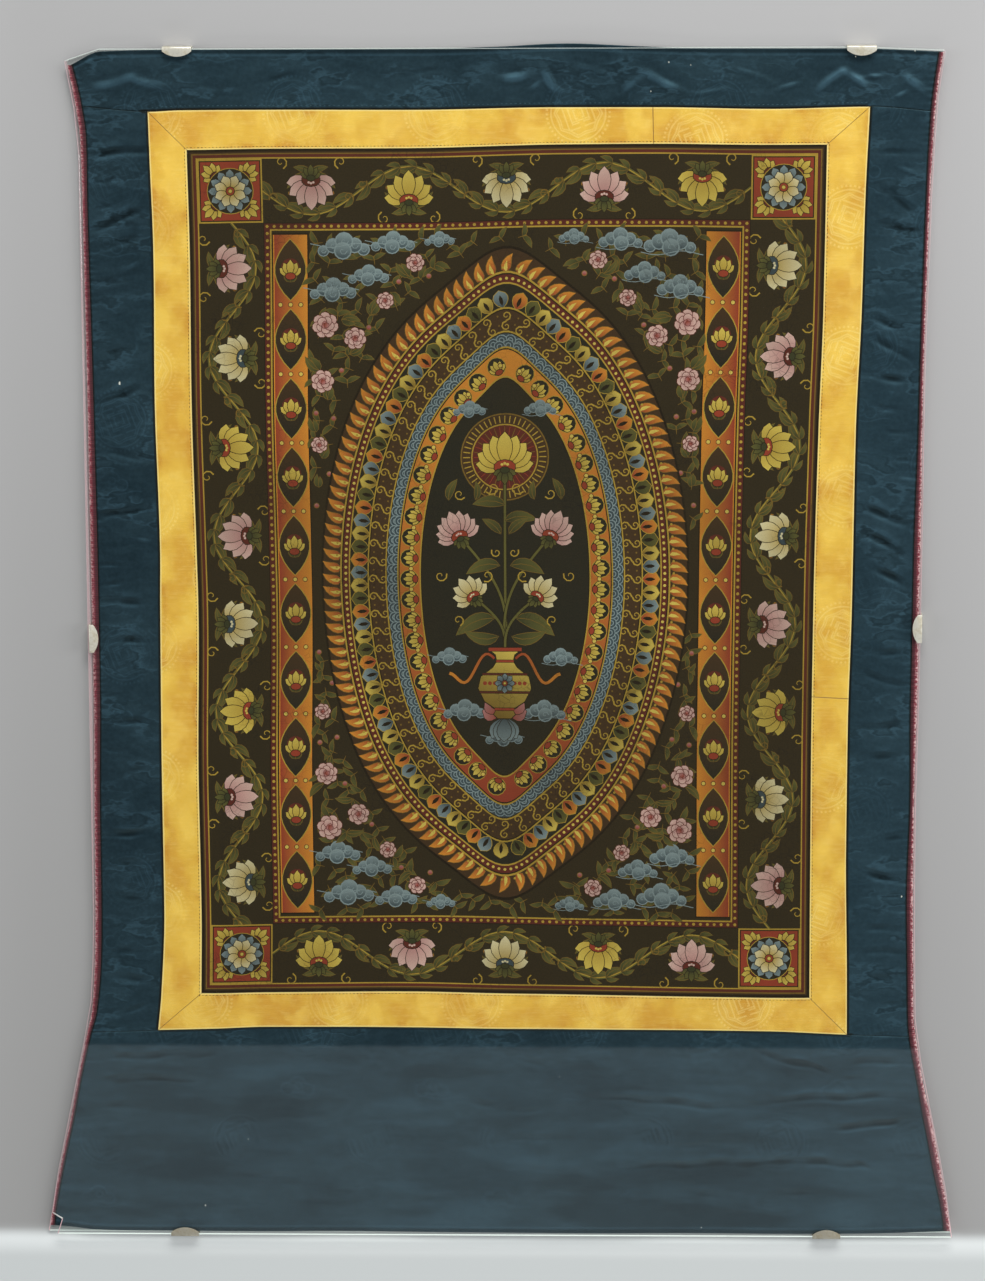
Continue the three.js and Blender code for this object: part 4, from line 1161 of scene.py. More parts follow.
def make_tape(name, satin_edge, outer_edge, foot_up, head_up):
    up = np.linspace(foot_up, head_up, round((head_up - foot_up) / TAPE_STEP))
    inner, outer = satin_edge(up), outer_edge(up)
    way = np.sign(outer[0] - inner[0])
    inner = inner - way * TAPE_FLAP
    wide = np.abs(outer - inner)
    slant = np.sin(math.tau * up / TAPE_RIB)
    nip = 0.5 + 0.5 * np.sin(math.tau * up / (TAPE_RIB * 4.0) + np.sin(up / 31.0) * 3)
    top = 0.82 + 0.09 * slant - 0.12 * nip
    # across as a share of the width, then height in mm: out over the top flap and back in below
    section = [
        (0.0, 0.42), (0.0, 0.62), (0.12, 0.9), (0.5, 1.0), (0.82, 0.86), (0.97, 0.4), (1.0, 0.0),
        (0.97, -0.5), (0.82, -0.86), (0.4, -0.95), (0.0, -0.9),
        (0.0, -0.62), (0.55, -0.55), (0.72, 0.0), (0.55, 0.4),
    ]
    base = relief(inner, up)
    rings = []
    for share, high in section:
        x = inner + way * wide * share * (1 - 0.03 * nip * (share > 0.9))
        rings.append(to_frame(x, up, base + (high * top if high > 0 else high * 0.86)))
    points = np.stack(rings, 1)
    rows, around = points.shape[:2]
    index = np.arange(rows * around).reshape(rows, around)
    after = np.roll(index, -1, 1)
    faces = np.stack((index[:-1], after[:-1], after[1:], index[1:]), -1).reshape(-1, 4)
    if way < 0:
        faces = faces[:, ::-1]
    ends = [index[0, ::-1], index[-1]] if way > 0 else [index[0], index[-1, ::-1]]
    mesh = bpy.data.meshes.new(name + "_tape")
    mesh.from_pydata(points.reshape(-1, 3).tolist(), [], faces.tolist() + [end.tolist() for end in ends])
    round_trip = np.linspace(0, TAPE_AROUND, around)
    flat = np.stack(np.broadcast_arrays(round_trip[None], up[:, None]), -1).reshape(-1, 2)
    loops = np.zeros(len(mesh.loops), int)
    mesh.loops.foreach_get("vertex_index", loops)
    mesh.uv_layers.new(name="mm").data.foreach_set("uv", flat[loops].astype(np.float32).ravel())
    marks = {"rise": (0.5 + 0.5 * slant)[:, None], "across": np.array(section)[None, :, 0]}
    for key, value in marks.items():
        value = np.broadcast_to(value, (rows, around)).ravel().astype(np.float32)
        mesh.attributes.new(key, "FLOAT", "POINT").data.foreach_set("value", value)
    mesh.shade_smooth()
    mesh.materials.append(TAPE)
    tape = stand(name + "_tape", mesh)
    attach(tape, "root")
    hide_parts(name)
    long = float(np.sum(np.hypot(np.diff(outer), np.diff(up)))) * MM


for name, satin_edge, outer_edge in (
    ("binding_left", satin_left, binding_left_outer),
    ("binding_right", satin_right, binding_right_outer),
):
    low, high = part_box(name)
    foot_up, head_up = (low[1] - SHIFT_Y) / MM + TAPE_END, (high[1] - SHIFT_Y) / MM - TAPE_END
    make_tape(name, satin_edge, outer_edge, foot_up, head_up)

# %% [markdown]
# The picture is painted like a mineral-colour scroll: a nearly black ground, gold line work, brick red,
# a little blue-grey, pink and cream. A shape is a closed outline of complex numbers, so that turning and
# sizing it is one multiplication. The picture keeps its shapes in the order a painter lays them.

# %% Shapes to paint with
WIDE, TALL = 464.0, 644.0  # mm
TUCK = 4.0
SHADES = {
    "ink": (28, 20, 6),
    "ground": (46, 38, 20),
    "night": (34, 34, 24),
    "umber": (66, 46, 26),
    "gold": (176, 144, 54),
    "pale_gold": (210, 184, 84),
    "ochre": (122, 94, 36),
    "brick": (148, 58, 38),
    "wine": (92, 36, 28),
    "orange": (208, 134, 46),
    "pink": (176, 120, 116),
    "blush": (214, 178, 164),
    "cream": (218, 206, 162),
    "slate": (58, 74, 80),
    "mist": (132, 148, 148),
    "leaf": (96, 92, 44),
    "moss": (54, 58, 32),
}


def disc(radius, points=12, squash=1.0):
    turn = np.linspace(0, math.tau, points, endpoint=False)
    return radius * (np.cos(turn) + 1j * squash * np.sin(turn))


def blade(long, wide, belly=0.5, blunt=0.8, points=None):
    """A petal or leaf from 0 to long, widest at belly, with a sharper point the higher blunt is."""
    t = np.linspace(0, 1, (points or (4 if long < 13 else 5 if long < 22 else 7)) + 1)
    half = wide / 2 * np.abs(np.sin(math.pi * t ** (math.log(0.5) / math.log(belly)))) ** blunt
    return np.concatenate((long * t + 1j * half, (long * t - 1j * half)[-2:0:-1]))


def bend(shape, curl):
    reach = np.abs(shape)
    return shape * np.exp(1j * curl * reach / reach.max())


def stroke(line, width, ends=(1.0, 1.0)):
    way = np.gradient(line)
    side = 1j * way / np.abs(way) * width / 2 * np.linspace(*ends, len(line))
    return np.concatenate((line + side, (line - side)[::-1]))


def grown(shape, by):
    way = np.roll(shape, -1) - np.roll(shape, 1)
    spin = np.sign(np.sum(shape.real * np.roll(shape.imag, -1) - shape.imag * np.roll(shape.real, -1)))
    return shape - 1j * spin * by * way / np.maximum(np.abs(way), 1e-6)


def spiral(size, turns, points=11, tight=0.16):
    t = np.linspace(0, 1, points)
    return size * (1 - (1 - tight) * t) * np.exp(1j * math.tau * turns * t) - size


def box(left, foot, right, head, step=7.0):
    """A rectangle with points along its sides, so that it can follow the cloth."""
    corners = [left + 1j * foot, right + 1j * foot, right + 1j * head, left + 1j * head, left + 1j * foot]
    ends = zip(corners, corners[1:])
    sides = [np.linspace(a, b, max(1, round(abs(b - a) / step)), endpoint=False) for a, b in ends]
    return np.concatenate(sides)


class Picture:
    def __init__(self):
        self.shapes = []

    def add(self, shape, shade, other=None, along=1j):
        """A shape in one shade, or in a blend of two along a direction."""
        self.shapes.append((np.asarray(shape), shade, other or shade, along))

    def drawn(self, shape, shade, other=None, along=1j, line=0.55, ink="ink"):
        self.add(grown(shape, line), ink)
        self.add(shape, shade, other, along)


art = Picture()
hand = random.Random(11)
print("shades in the paint box:", len(SHADES))

# %% [markdown]
# The motifs are the usual ones of such scrolls: lotus flowers seen from the side, round peonies, leaves,
# curling tendrils, cloud banks and flames. Each is placed by a point, a size and a turn.

# %% Motifs


def unit(degrees):
    return np.exp(1j * math.radians(degrees))


def petal(at, turn, long, wide, shade, tip, ink="ink", belly=0.58, blunt=0.75):
    shape = at + turn * blade(long, wide, belly, blunt)
    art.drawn(shape, shade, tip, turn, 0.5, ink)


def leaf(at, turn, long, curl=0.5, shade="moss", tip="leaf"):
    shape = bend(blade(long, long * 0.36, 0.45, 0.9), curl)
    art.drawn(at + turn * shape, shade, tip, turn, 0.4, "ochre")
    if long > 12:
        rib = bend(np.linspace(0.04, 0.86, 4) * long + 0j, curl * 0.86)
        art.add(at + turn * stroke(rib, 0.55, (1, 0.5)), "ochre")


def tendril(at, turn, size, side=1, shade="gold", width=0.9, turns=1.1):
    line = spiral(size, turns)
    line = line if side > 0 else line.conjugate()
    art.add(at + turn * 1j * side * stroke(line, width, (1.2, 0.5)), shade)


def lotus(at, turn, size, shade="gold", tip="pale_gold", heart="brick", petals=7, spread=82):
    for angle in sorted(np.linspace(-spread, spread, petals), key=abs, reverse=True):
        long = size * (1 - 0.2 * abs(angle) / spread)
        petal(at, turn * unit(angle), long, size * 0.42, shade, tip)
    art.drawn(at + turn * (disc(size * 0.2, 10, 1.5) + size * 0.02), heart)
    if size > 15:
        for angle in (-40, 0, 40):
            art.add(at + turn * unit(angle) * (disc(size * 0.045, 5) + size * 0.12), tip)


def peony(at, size, turn=1.0):
    for count, out, radius in ((7, 0.62, 0.4), (5, 0.34, 0.34)):
        for k in range(count):
            way = turn * unit(360 / count * k + 20 * count)
            art.drawn(at + size * way * (out + disc(radius, 9)), "pink", "blush", way, 0.5, "wine")
    for k in range(3):
        way = turn * unit(120 * k)
        art.drawn(at + size * way * (0.1 + disc(0.2, 6)), "brick", "pink", way, 0.4, "wine")


PUFFS = (
    (-1.5, 0.1, 0.5), (1.6, 0, 0.45), (-0.8, 0.42, 0.62), (0.85, 0.4, 0.6), (0, 0.75, 0.72), (0.1, 0, 0.7),
)


def cloud(at, size, turn=1.0, side=1):
    for x, y, radius in PUFFS:
        middle = at + size * turn * (x * side + 1j * y)
        art.add(middle + size * disc(radius, 12), "mist")
        art.add(middle + size * disc(radius * 0.84), "slate", "mist")
        line = middle + size * turn * 0.5 * radius * (1 + spiral(1.0, 0.9 * side, 7))
        art.add(stroke(line, 0.6, (1, 0.6)), "mist")
    tail = np.linspace(-2.2, 2.6, 12)
    tail = stroke(tail + 0.16j * np.sin(tail * 1.6) - 0.42j, 0.22, (0.3, 0.3))
    art.add(at + size * turn * (side * tail), "mist")


def flame(at, turn, size, curl):
    outer = bend(blade(size, size * 0.5, 0.34, 0.9), curl)
    art.drawn(at + turn * outer, "brick", "orange", turn, 0.45, "ochre")
    art.add(at + turn * bend(blade(size * 0.62, size * 0.2, 0.36, 0.9, 3), curl * 0.6), "pale_gold")


def rosette(at, rings, heart="brick", core=3.0):
    for count, out, long, wide, shade, tip, start in rings:
        for k in range(count):
            way = unit(360 / count * (k + start))
            petal(at + way * out, way, long, wide, shade, tip)
    art.drawn(at + disc(core, 12), heart)
    art.drawn(at + disc(core * 0.4, 8), "pale_gold", ink="ochre")


def beads(line, radius, shade="gold", points=6):
    for middle in line:
        art.add(middle + disc(radius, points), shade)


# %% [markdown]
# First the ground and the borders. Guard stripes and a row of gold beads frame a wide frieze, where a
# vine swings from side to side and carries a flower in every hollow. The four corners are red blocks
# with a rosette each.

# %% Borders of the picture
EDGE, FRIEZE, GUARD = 7.0, 47.0, 6.0
BLOOMS = (("gold", "pale_gold", "brick"), ("pink", "blush", "wine"), ("gold", "cream", "slate"))
INSIDE = EDGE + FRIEZE + GUARD
VINE_SWING, VINE_SLOPE = 17.5, 55.0  # mm; the slope is pi times the swing

art.add(box(-TUCK, -TUCK, WIDE + TUCK, TALL + TUCK), "ink")
for inset, shade in ((1.9, "umber"), (2.9, "ochre"), (3.8, "wine"), (EDGE - 1.0, "gold"), (EDGE, "ground")):
    art.add(box(inset, inset, WIDE - inset, TALL - inset), shade)


def frieze(start, way, length, flowers, first):
    """A vine along a line, with its leaves, flowers and tendrils."""
    pitch = length / flowers
    x = np.linspace(0, length, flowers * 12 + 1)
    line = start + way * (x + 1j * VINE_SWING * np.sin(math.pi * x / pitch))
    art.add(stroke(line, 3.4), "ink")
    art.add(stroke(line, 2.2), "leaf")
    art.add(stroke(line + 0.3j * way, 0.7), "gold")
    for k in range(flowers * 6):
        share = (k + 0.5) / 6
        place = VINE_SWING * math.sin(math.pi * share)
        slope = math.cos(math.pi * share) * VINE_SLOPE / pitch
        turn = way * np.exp(1j * math.atan(slope))
        for side in (-1, 1):
            size = 15 if side * math.sin(math.pi * share) < 0 else 10
            leaf(start + way * (share * pitch + 1j * place), turn * unit(56 * side), size, -0.7 * side)
    for k in range(flowers):
        side = -1 if k % 2 else 1
        middle = start + way * ((k + 0.5) * pitch - 1j * side * 5)
        up = way * 1j * side
        for edge in (-1, 1):
            leaf(middle - up * 4, up * unit(118 * edge), 19, -0.9 * edge)
            leaf(middle - up * 6, up * unit(150 * edge), 14, -0.6 * edge)
            tendril(middle + way * edge * 20 - up * 11, up * unit(-70 * edge), 5.0, edge)
            tendril(middle + way * edge * pitch * 0.43 + up * 12, up * unit(30 * edge), 4.0, -edge, "ochre")
            art.drawn(middle + way * edge * 15 + up * 7 + disc(1.5, 7), "brick", "orange", ink="ochre")
        shade, tip, heart = BLOOMS[(k + first) % 3]
        lotus(middle - up * 3, up, 22.5, shade, tip, heart)
        lotus(middle - up * 4, -up, 10, "moss", "leaf", "moss", 5, 64)


middle = EDGE + FRIEZE / 2
long, short = TALL - 2 * (EDGE + FRIEZE), WIDE - 2 * (EDGE + FRIEZE)
frieze(EDGE + FRIEZE + 1j * middle, 1, short, 5, 0)
frieze(WIDE - EDGE - FRIEZE + 1j * (TALL - middle), -1, short, 5, 0)
frieze(WIDE - middle + 1j * (EDGE + FRIEZE), 1j, long, 8, 1)
frieze(middle + 1j * (TALL - EDGE - FRIEZE), -1j, long, 8, 1)

for x in (middle, WIDE - middle):
    for y in (middle, TALL - middle):
        for half, shade in ((FRIEZE / 2, "gold"), (FRIEZE / 2 - 1.1, "ink"), (FRIEZE / 2 - 1.9, "brick")):
            art.add(x + 1j * y + box(-half, -half, half, half), shade)
        for way in (unit(45 + 90 * k) for k in range(4)):
            lotus(x + 1j * y + way * 16, way, 11, "gold", "pale_gold", "wine", 5, 70)
        art.drawn(x + 1j * y + disc(16.5, 28), "night", ink="gold")
        rosette(x + 1j * y, ((12, 6, 10, 6, "slate", "mist", 0), (8, 2, 10, 7, "gold", "cream", 0.5)))

guard = INSIDE - GUARD
for inset, shade in ((guard, "ink"), (guard + 0.7, "wine"), (INSIDE - 1.2, "gold"), (INSIDE, "ground")):
    art.add(box(inset, inset, WIDE - inset, TALL - inset), shade)
inset = INSIDE - GUARD / 2 - 0.2
foot, head = 1j * inset, 1j * (TALL - inset)
corners = [inset + foot, WIDE - inset + foot, WIDE - inset + head, inset + head]
for start, end in zip(corners, corners[1:] + corners[:1]):
    beads(np.linspace(start, end, round(abs(end - start) / 5.2), endpoint=False), 1.25, "gold")

# %% [markdown]
# A red band stands at either side of the field. It fades from brick to orange-gold, and holds dark
# lozenges with a bud in each.

# %% Red bands
BAND = 25.0
BUDS = 10

for side in (-1, 1):
    axis = WIDE / 2 + side * (WIDE / 2 - INSIDE - BAND / 2 - 1)
    for half, shade in ((BAND / 2 + 1, "ink"), (BAND / 2, "orange")):
        art.add(box(axis - half, INSIDE + 2, axis + half, TALL - INSIDE - 2), shade)
    faded = box(axis - BAND / 2 + 0.8, INSIDE + 3, axis + BAND / 2 - 0.8, TALL - INSIDE - 3)
    art.add(faded, "brick", "orange", -side)
    pitch = (TALL - 2 * INSIDE - 6) / BUDS
    for k in range(BUDS):
        spot = axis + 1j * (INSIDE + 3 + (k + 0.5) * pitch)
        lozenge = blade(pitch - 7, 22.4, 0.5, 0.86, 9) - (pitch - 7) / 2
        art.drawn(spot + 1j * lozenge, "night", "umber", 1j, 0.8, "gold")
        art.add(spot + 2j + disc(6.6, 14), "brick", "wine")
        for angle in (-58, 58):
            leaf(spot - 9j, 1j * unit(angle), 9.5, -0.6 * angle / 58)
        lotus(spot - 5j, 1j, 12.5, "gold", "pale_gold", "brick", 5, 52)
        if k:
            for x in (-7.5, 0, 7.5):
                art.drawn(spot - 1j * pitch / 2 + x + disc(1.5, 7), "pale_gold", ink="wine")
    for y in (INSIDE + 2.4, TALL - INSIDE - 2.4):
        art.add(box(axis - BAND / 2 - 1, y - 0.6, axis + BAND / 2 + 1, y + 0.6), "ink")

# %% [markdown]
# Peonies, leaves and cloud banks fill the corners of the field around the medallion.

# %% Field
FIELD = INSIDE + BAND + 2
centre = WIDE / 2 + 1j * TALL / 2
MEDAL_WIDE, MEDAL_TALL = 137.0, 247.0

sprigs = []
for _ in range(5200):
    spot = complex(hand.uniform(FIELD + 4, WIDE - FIELD - 4), hand.uniform(INSIDE + 5, TALL - INSIDE - 5))
    off = spot - centre
    outside = abs(off.real / (MEDAL_WIDE + 5) + 1j * off.imag / (MEDAL_TALL + 3)) > 1
    if outside and all(abs(spot - other) > 9.6 for other in sprigs):
        sprigs.append(spot)
for spot in sprigs:
    turn = np.exp(1j * (np.angle(spot - centre) + hand.uniform(-1.3, 1.3)))
    leaf(spot, turn * unit(34), hand.uniform(8.5, 11), 0.6)
    leaf(spot, turn * unit(-34), hand.uniform(8.5, 11), -0.6)
    art.add(spot + turn * stroke(np.array([-3.5 + 0j, 0j, 3.0 + 0j]), 0.8, (0.4, 1)), "ochre")
print("sprigs:", len(sprigs))

for side in (-1, 1):
    for end in (-1, 1):

        def spot(x, y, side=side, end=end):
            return centre + side * (WIDE / 2 - FIELD - x) + 1j * end * (TALL / 2 - INSIDE - y)

        for x, y, size in ((26, 15, 9.5), (62, 12, 8), (18, 47, 8.5), (44, 36, 7.5), (96, 9, 5.5)):
            cloud(spot(x, y), size, 1.0, side)
        leaves = (
            (12, 78, 15, 40), (30, 92, 17, 100), (8, 104, 15, 10), (14, 126, 13, 60), (46, 62, 13, 80),
            (74, 34, 14, 10), (92, 26, 12, 160), (5, 150, 12, 30), (9, 170, 11, 80), (6, 192, 10, 50),
            (24, 66, 14, 150), (60, 46, 12, 200),
        )
        for x, y, size, angle in leaves:
            turn = unit(angle) if side > 0 else -unit(angle).conjugate()
            turn = turn if end > 0 else turn.conjugate()
            leaf(spot(x, y), turn, size, 0.6 * side * end)
            leaf(spot(x, y), turn * unit(74 * side), size * 0.8, -0.5 * side * end)
        peonies = (
            (12, 70, 9.5), (34, 80, 8.0), (10, 112, 8.4), (78, 24, 6.6), (7, 160, 6.0), (56, 52, 6.2),
        )
        for x, y, size in peonies:
            peony(spot(x, y), size, unit(hand.uniform(0, 360)))
        for x, y in ((24, 104), (44, 72), (18, 140), (5, 136), (88, 34), (66, 38), (14, 182), (4, 206)):
            art.drawn(spot(x, y) + disc(1.7, 8), "brick", "pink", ink="ochre")

# %% [markdown]
# The medallion is a tall pointed oval of nested rings: flames, lotus petals, a scroll, and a red ring of
# buds. A ring is the same outline drawn in by its distance, and its motifs stand at even steps along it.

# %% Medallion


def oval(inset):
    """The medallion's outline drawn in by inset, a little more at its two points."""
    turn = np.linspace(0, math.tau, 150, endpoint=False)
    point = 1 + 0.075 * np.exp(-((np.abs(np.abs(turn - math.pi) - math.pi / 2) / 0.24) ** 2))
    tall = (MEDAL_TALL - 1.3 * inset) * 0.93
    return centre + (MEDAL_WIDE - inset) * np.cos(turn) + 1j * tall * np.sin(turn) * point


def steps(inset, pitch, phase=0.0):
    """Places and outward directions at even steps along the oval."""
    line = oval(inset)
    line = np.append(line, line[0])
    far = np.append(0, np.cumsum(np.abs(np.diff(line))))
    count = max(3, round(far[-1] / pitch))
    at = (np.arange(count) + phase) / count * far[-1]
    place = np.interp(at, far, line.real) + 1j * np.interp(at, far, line.imag)
    ahead = np.interp(at + 1, far, line.real) + 1j * np.interp(at + 1, far, line.imag)
    way = -1j * (ahead - place) / np.maximum(np.abs(ahead - place), 1e-6)
    return list(zip(place, way))


def rings(*rows):
    for inset, shade in rows:
        art.add(oval(inset), shade)


rings((-1.6, "ink"), (0, "umber"))
for place, way in steps(13.4, 9.2):
    flame(place, way * unit(22), 14.5, -0.7)
for place, way in steps(13.0, 9.2, 0.5):
    art.add(place + way * (disc(1.0, 6) + 3.0), "gold")
rings((12.6, "gold"), (13.8, "ink"), (14.6, "wine"), (19.0, "gold"), (20.0, "night"))
beads([place for place, _ in steps(16.8, 4.6)], 1.2, "pale_gold")
TINTS = (("brick", "orange"), ("slate", "mist"), ("ochre", "pale_gold"), ("moss", "leaf"))
for k, (place, way) in enumerate(steps(33.6, 9.8)):
    shade, tip = TINTS[k % 4]
    petal(place, way, 13.0, 10.8, shade, tip, "gold", 0.56, 0.6)
    art.add(place + way * (blade(8.4, 3.0, 0.5, 0.8, 3) + 1.4), "ink")
rings((33.2, "gold"), (34.2, "ink"), (35.0, "umber"))
for place, way in steps(41.0, 13.4):
    for side in (-1, 1):
        tendril(place + way * side * 0.2, way * 1j * side, 3.7, 1, "gold", 1.0, 1.25)
        art.add(place + side * (way * 1j * 6.4 + way * 3.2) + disc(0.8, 5), "ochre")
rings((46.6, "gold"), (47.6, "ink"), (48.2, "slate"))
for shift, phase in ((50.6, 0), (53.8, 0.5)):
    for place, way in steps(shift, 7.4, phase):
        for radius, shade in ((4.4, "mist"), (3.7, "slate"), (2.2, "mist"), (1.5, "slate")):
            art.add(place + way * (disc(radius, 10) - 1.5), shade)
rings((55.6, "gold"), (56.6, "ink"))
art.add(oval(57.4), "brick", "orange")
for place, way in steps(71.0, 15.6, 0.5):
    art.drawn(place + way * (6.4 + disc(6.6)), "night", ink="gold", line=0.6)
    lotus(place + way * 1.6, way, 9.4, "gold", "pale_gold", "brick", 5, 56)
for place, way in steps(66.0, 15.6):
    art.drawn(place + disc(1.5, 6), "pale_gold", ink="wine")
rings((72.4, "gold"), (73.4, "ink"), (74.2, "night"))
print("motifs on the second ring:", k + 1)

# %% [markdown]
# Inside stands a gold vase on a lotus, among clouds. Five blossoms rise from it, and the topmost has a
# red halo with fine gold rays.

# %% Vase and bouquet
clouds = (
    (-30, -104, 8), (30, -104, 8), (0, -124, 7), (-42, -62, 6.5), (42, -62, 6.5), (-26, 126, 6),
    (26, 126, 6),
)
for x, y, size in clouds:
    cloud(centre + x + 1j * y, size, 1.0, 1 if x > 0 else -1)
halo = centre + 92j
for radius, shade in ((33, "ochre"), (32, "umber"), (25, "gold"), (24, "wine")):
    art.add(halo + disc(radius, 40), shade)
for k in range(48):
    reach = np.array([25.8, 31.0]) * unit(7.5 * k)
    art.add(halo + stroke(reach, 0.8), "gold")
for k in range(36):
    ray = stroke(np.array([12.0, 23.0]) * unit(10 * k), 0.7, (1, 0.6))
    art.add(halo + ray, "ochre" if k % 2 else "brick")
stems = (
    (0, 84, 0, "gold", "pale_gold", 27, 90),
    (-34, 32, 8, "pink", "blush", 21, 112),
    (34, 32, -8, "pink", "blush", 21, 68),
    (-24, -14, 5, "gold", "cream", 18, 128),
    (24, -14, -5, "gold", "cream", 18, 52),
)
mouth = centre - 54j
for x, y, sway, _, _, _, _ in stems:
    t = np.linspace(0, 1, 14)
    line = mouth + lerp(0, x + 1j * y + 54j, t) + sway * np.sin(math.pi * t) * 1.6
    art.add(stroke(line, 2.8), "ink")
    art.add(stroke(line, 1.8), "leaf")
vase_leaves = (
    (0, 56, 150, 24, 0.5), (0, 44, 30, 24, -0.5), (-4, 10, 160, 26, 0.6), (4, 10, 20, 26, -0.6),
    (-8, -30, 176, 32, 0.5), (8, -30, 4, 32, -0.5), (-3, 34, 118, 18, 0.4), (3, 34, 62, 18, -0.4),
    (-5, -44, 206, 26, -0.6), (5, -44, -26, 26, 0.6), (-42, 60, 96, 17, -0.5), (42, 60, 84, 17, 0.5),
    (-22, 60, 60, 14, 0.5), (22, 60, 120, 14, -0.5),
)
for x, y, angle, size, curl in vase_leaves:
    leaf(centre + x + 1j * y, unit(angle), size, curl)
curls = (
    (-14, 66, 120, 5.5, 1), (14, 66, 60, 5.5, -1), (-16, -2, 150, 5, 1), (16, -2, 30, 5, -1),
    (-44, 4, 110, 5, -1), (44, 4, 70, 5, 1), (-30, 62, 60, 4.5, -1), (30, 62, 120, 4.5, 1),
    (-34, -36, 200, 4.5, 1), (34, -36, -20, 4.5, -1), (-10, 22, 60, 4, 1), (10, 22, 120, 4, -1),
)
for x, y, angle, size, side in curls:
    tendril(centre + x + 1j * y, unit(angle), size, side)
for x, y, _, shade, tip, size, angle in stems:
    lotus(centre + x + 1j * y, unit(angle), size, shade, tip, "brick", 9 if size > 20 else 7)
    lotus(centre + x + 1j * y - unit(angle) * 1.5, -unit(angle), size * 0.42, "moss", "leaf", "moss", 5, 66)

body = [-5 + 0j, -8 + 3j, -6 + 7j, -15 + 13j, -20 + 23j, -18 + 32j, -9 + 39j, -6 + 44j, -7 + 49j, -12 + 53j]
body = np.array(body)
body = np.concatenate((body, -body.conjugate()[::-1]))
foot = mouth - 53j
for angle in (-78, 78, -52, 52, -26, 26, 0):
    petal(foot + 2j + unit(angle) * 3j, 1j * unit(angle), 19 - abs(angle) / 16, 13, "brick", "pink")
for angle in (150, 210, 165, 195, 180):
    petal(foot + 1j, 1j * unit(angle), 19, 11, "slate", "mist")
art.drawn(foot + body, "ochre", "pale_gold", 0.6 + 1j, 0.8)
bands = (
    (53, 12.5, 2.6, "brick"), (44, 6.6, 1.6, "brick"), (34, 17, 1.2, "wine"), (20, 19, 1.2, "wine"),
    (7, 7.4, 1.8, "brick"),
)
for y, half, thick, shade in bands:
    art.drawn(foot + 1j * y + box(-half, -thick / 2, half, thick / 2), shade, ink="ink", line=0.4)
beads([foot + 27j + x for x in np.linspace(-15, 15, 9)], 1.6, "brick", 8)
rosette(foot + 27j, ((8, 1.5, 6, 4, "slate", "mist", 0),), "brick", 2.0)
for side in (-1, 1):
    t = np.linspace(0, 1, 16)
    ribbon = foot + 46j + side * (8 + 34 * t) + 1j * (7 * np.sin(t * 7.5) - 18 * t)
    art.add(stroke(ribbon, 4.2, (0.6, 0.8)), "ink")
    art.add(stroke(ribbon, 3.0, (0.6, 0.8)), "brick", "orange", side)
print("painted shapes:", len(art.shapes), "with", sum(len(shape[0]) for shape in art.shapes), "points")

# %% [markdown]
# Now the shapes become paint on one canvas. A Delaunay triangulation cuts the canvas along every
# outline, and keeps a list of the shapes that cover each triangle; the last one painted wins.

# %% Cut the canvas along every outline
GRID = 7.0
BACK_GRID = 16.0


def inner_points(step, margin):
    xs = np.arange(-TUCK + margin, WIDE + TUCK - margin, step)
    ys = np.arange(-TUCK + margin, TALL + TUCK - margin, step)
    grid = xs[:, None] + 1j * ys[None] + (0.13 + 0.07j) * ((np.arange(len(xs)) % 2)[:, None] - 0.5)
    return grid.ravel()


def turned_left(shape):
    area = np.sum(shape.real * np.roll(shape.imag, -1) - shape.imag * np.roll(shape.real, -1))
    return shape if area > 0 else shape[::-1]


def cut(points, edges=(), loops=()):
    spots = [Vector((p.real, p.imag)) for p in points]
    made = delaunay_2d_cdt(spots, list(edges), list(loops), 0, 1e-4, True)
    flat = np.array([complex(p.x, p.y) for p in made[0]])
    home = {old: new for new, olds in enumerate(made[3]) for old in olds}
    return flat, np.array([tuple(face) for face in made[2]]), made[5], home


outlines = [turned_left(shape[0]) for shape in art.shapes]
starts = np.cumsum([0] + [len(outline) for outline in outlines])
loops = [list(range(start, end)) for start, end in zip(starts, starts[1:])]
flat, triangles, covers, home = cut(np.concatenate(outlines), loops=loops)
top_shape = np.array([max(cover) for cover in covers])
print("first cut:", len(triangles), "triangles")

# %% [markdown]
# That first cut still carries every hidden outline. Only the lines where the winner changes matter, so
# they are picked out, their nearly straight points are dropped, and the canvas is cut once more along
# them alone. Loose points on an even grid now join in, so that the canvas can follow the relief.

# %% Keep only the visible lines
SLACK = 0.07  # mm that a line may move

sides = np.sort(np.concatenate([triangles[:, [0, 1]], triangles[:, [1, 2]], triangles[:, [2, 0]]]), 1)
owner = np.tile(top_shape, 3)
key = sides[:, 0] * len(flat) + sides[:, 1]
order = np.argsort(key, kind="stable")
sides, owner, key = sides[order], owner[order], key[order]
twin = np.flatnonzero(key[1:] == key[:-1])
inner = np.zeros(len(key), bool)
inner[twin] = inner[twin + 1] = True
lines = np.concatenate((sides[twin[owner[twin] != owner[twin + 1]]], sides[~inner]))

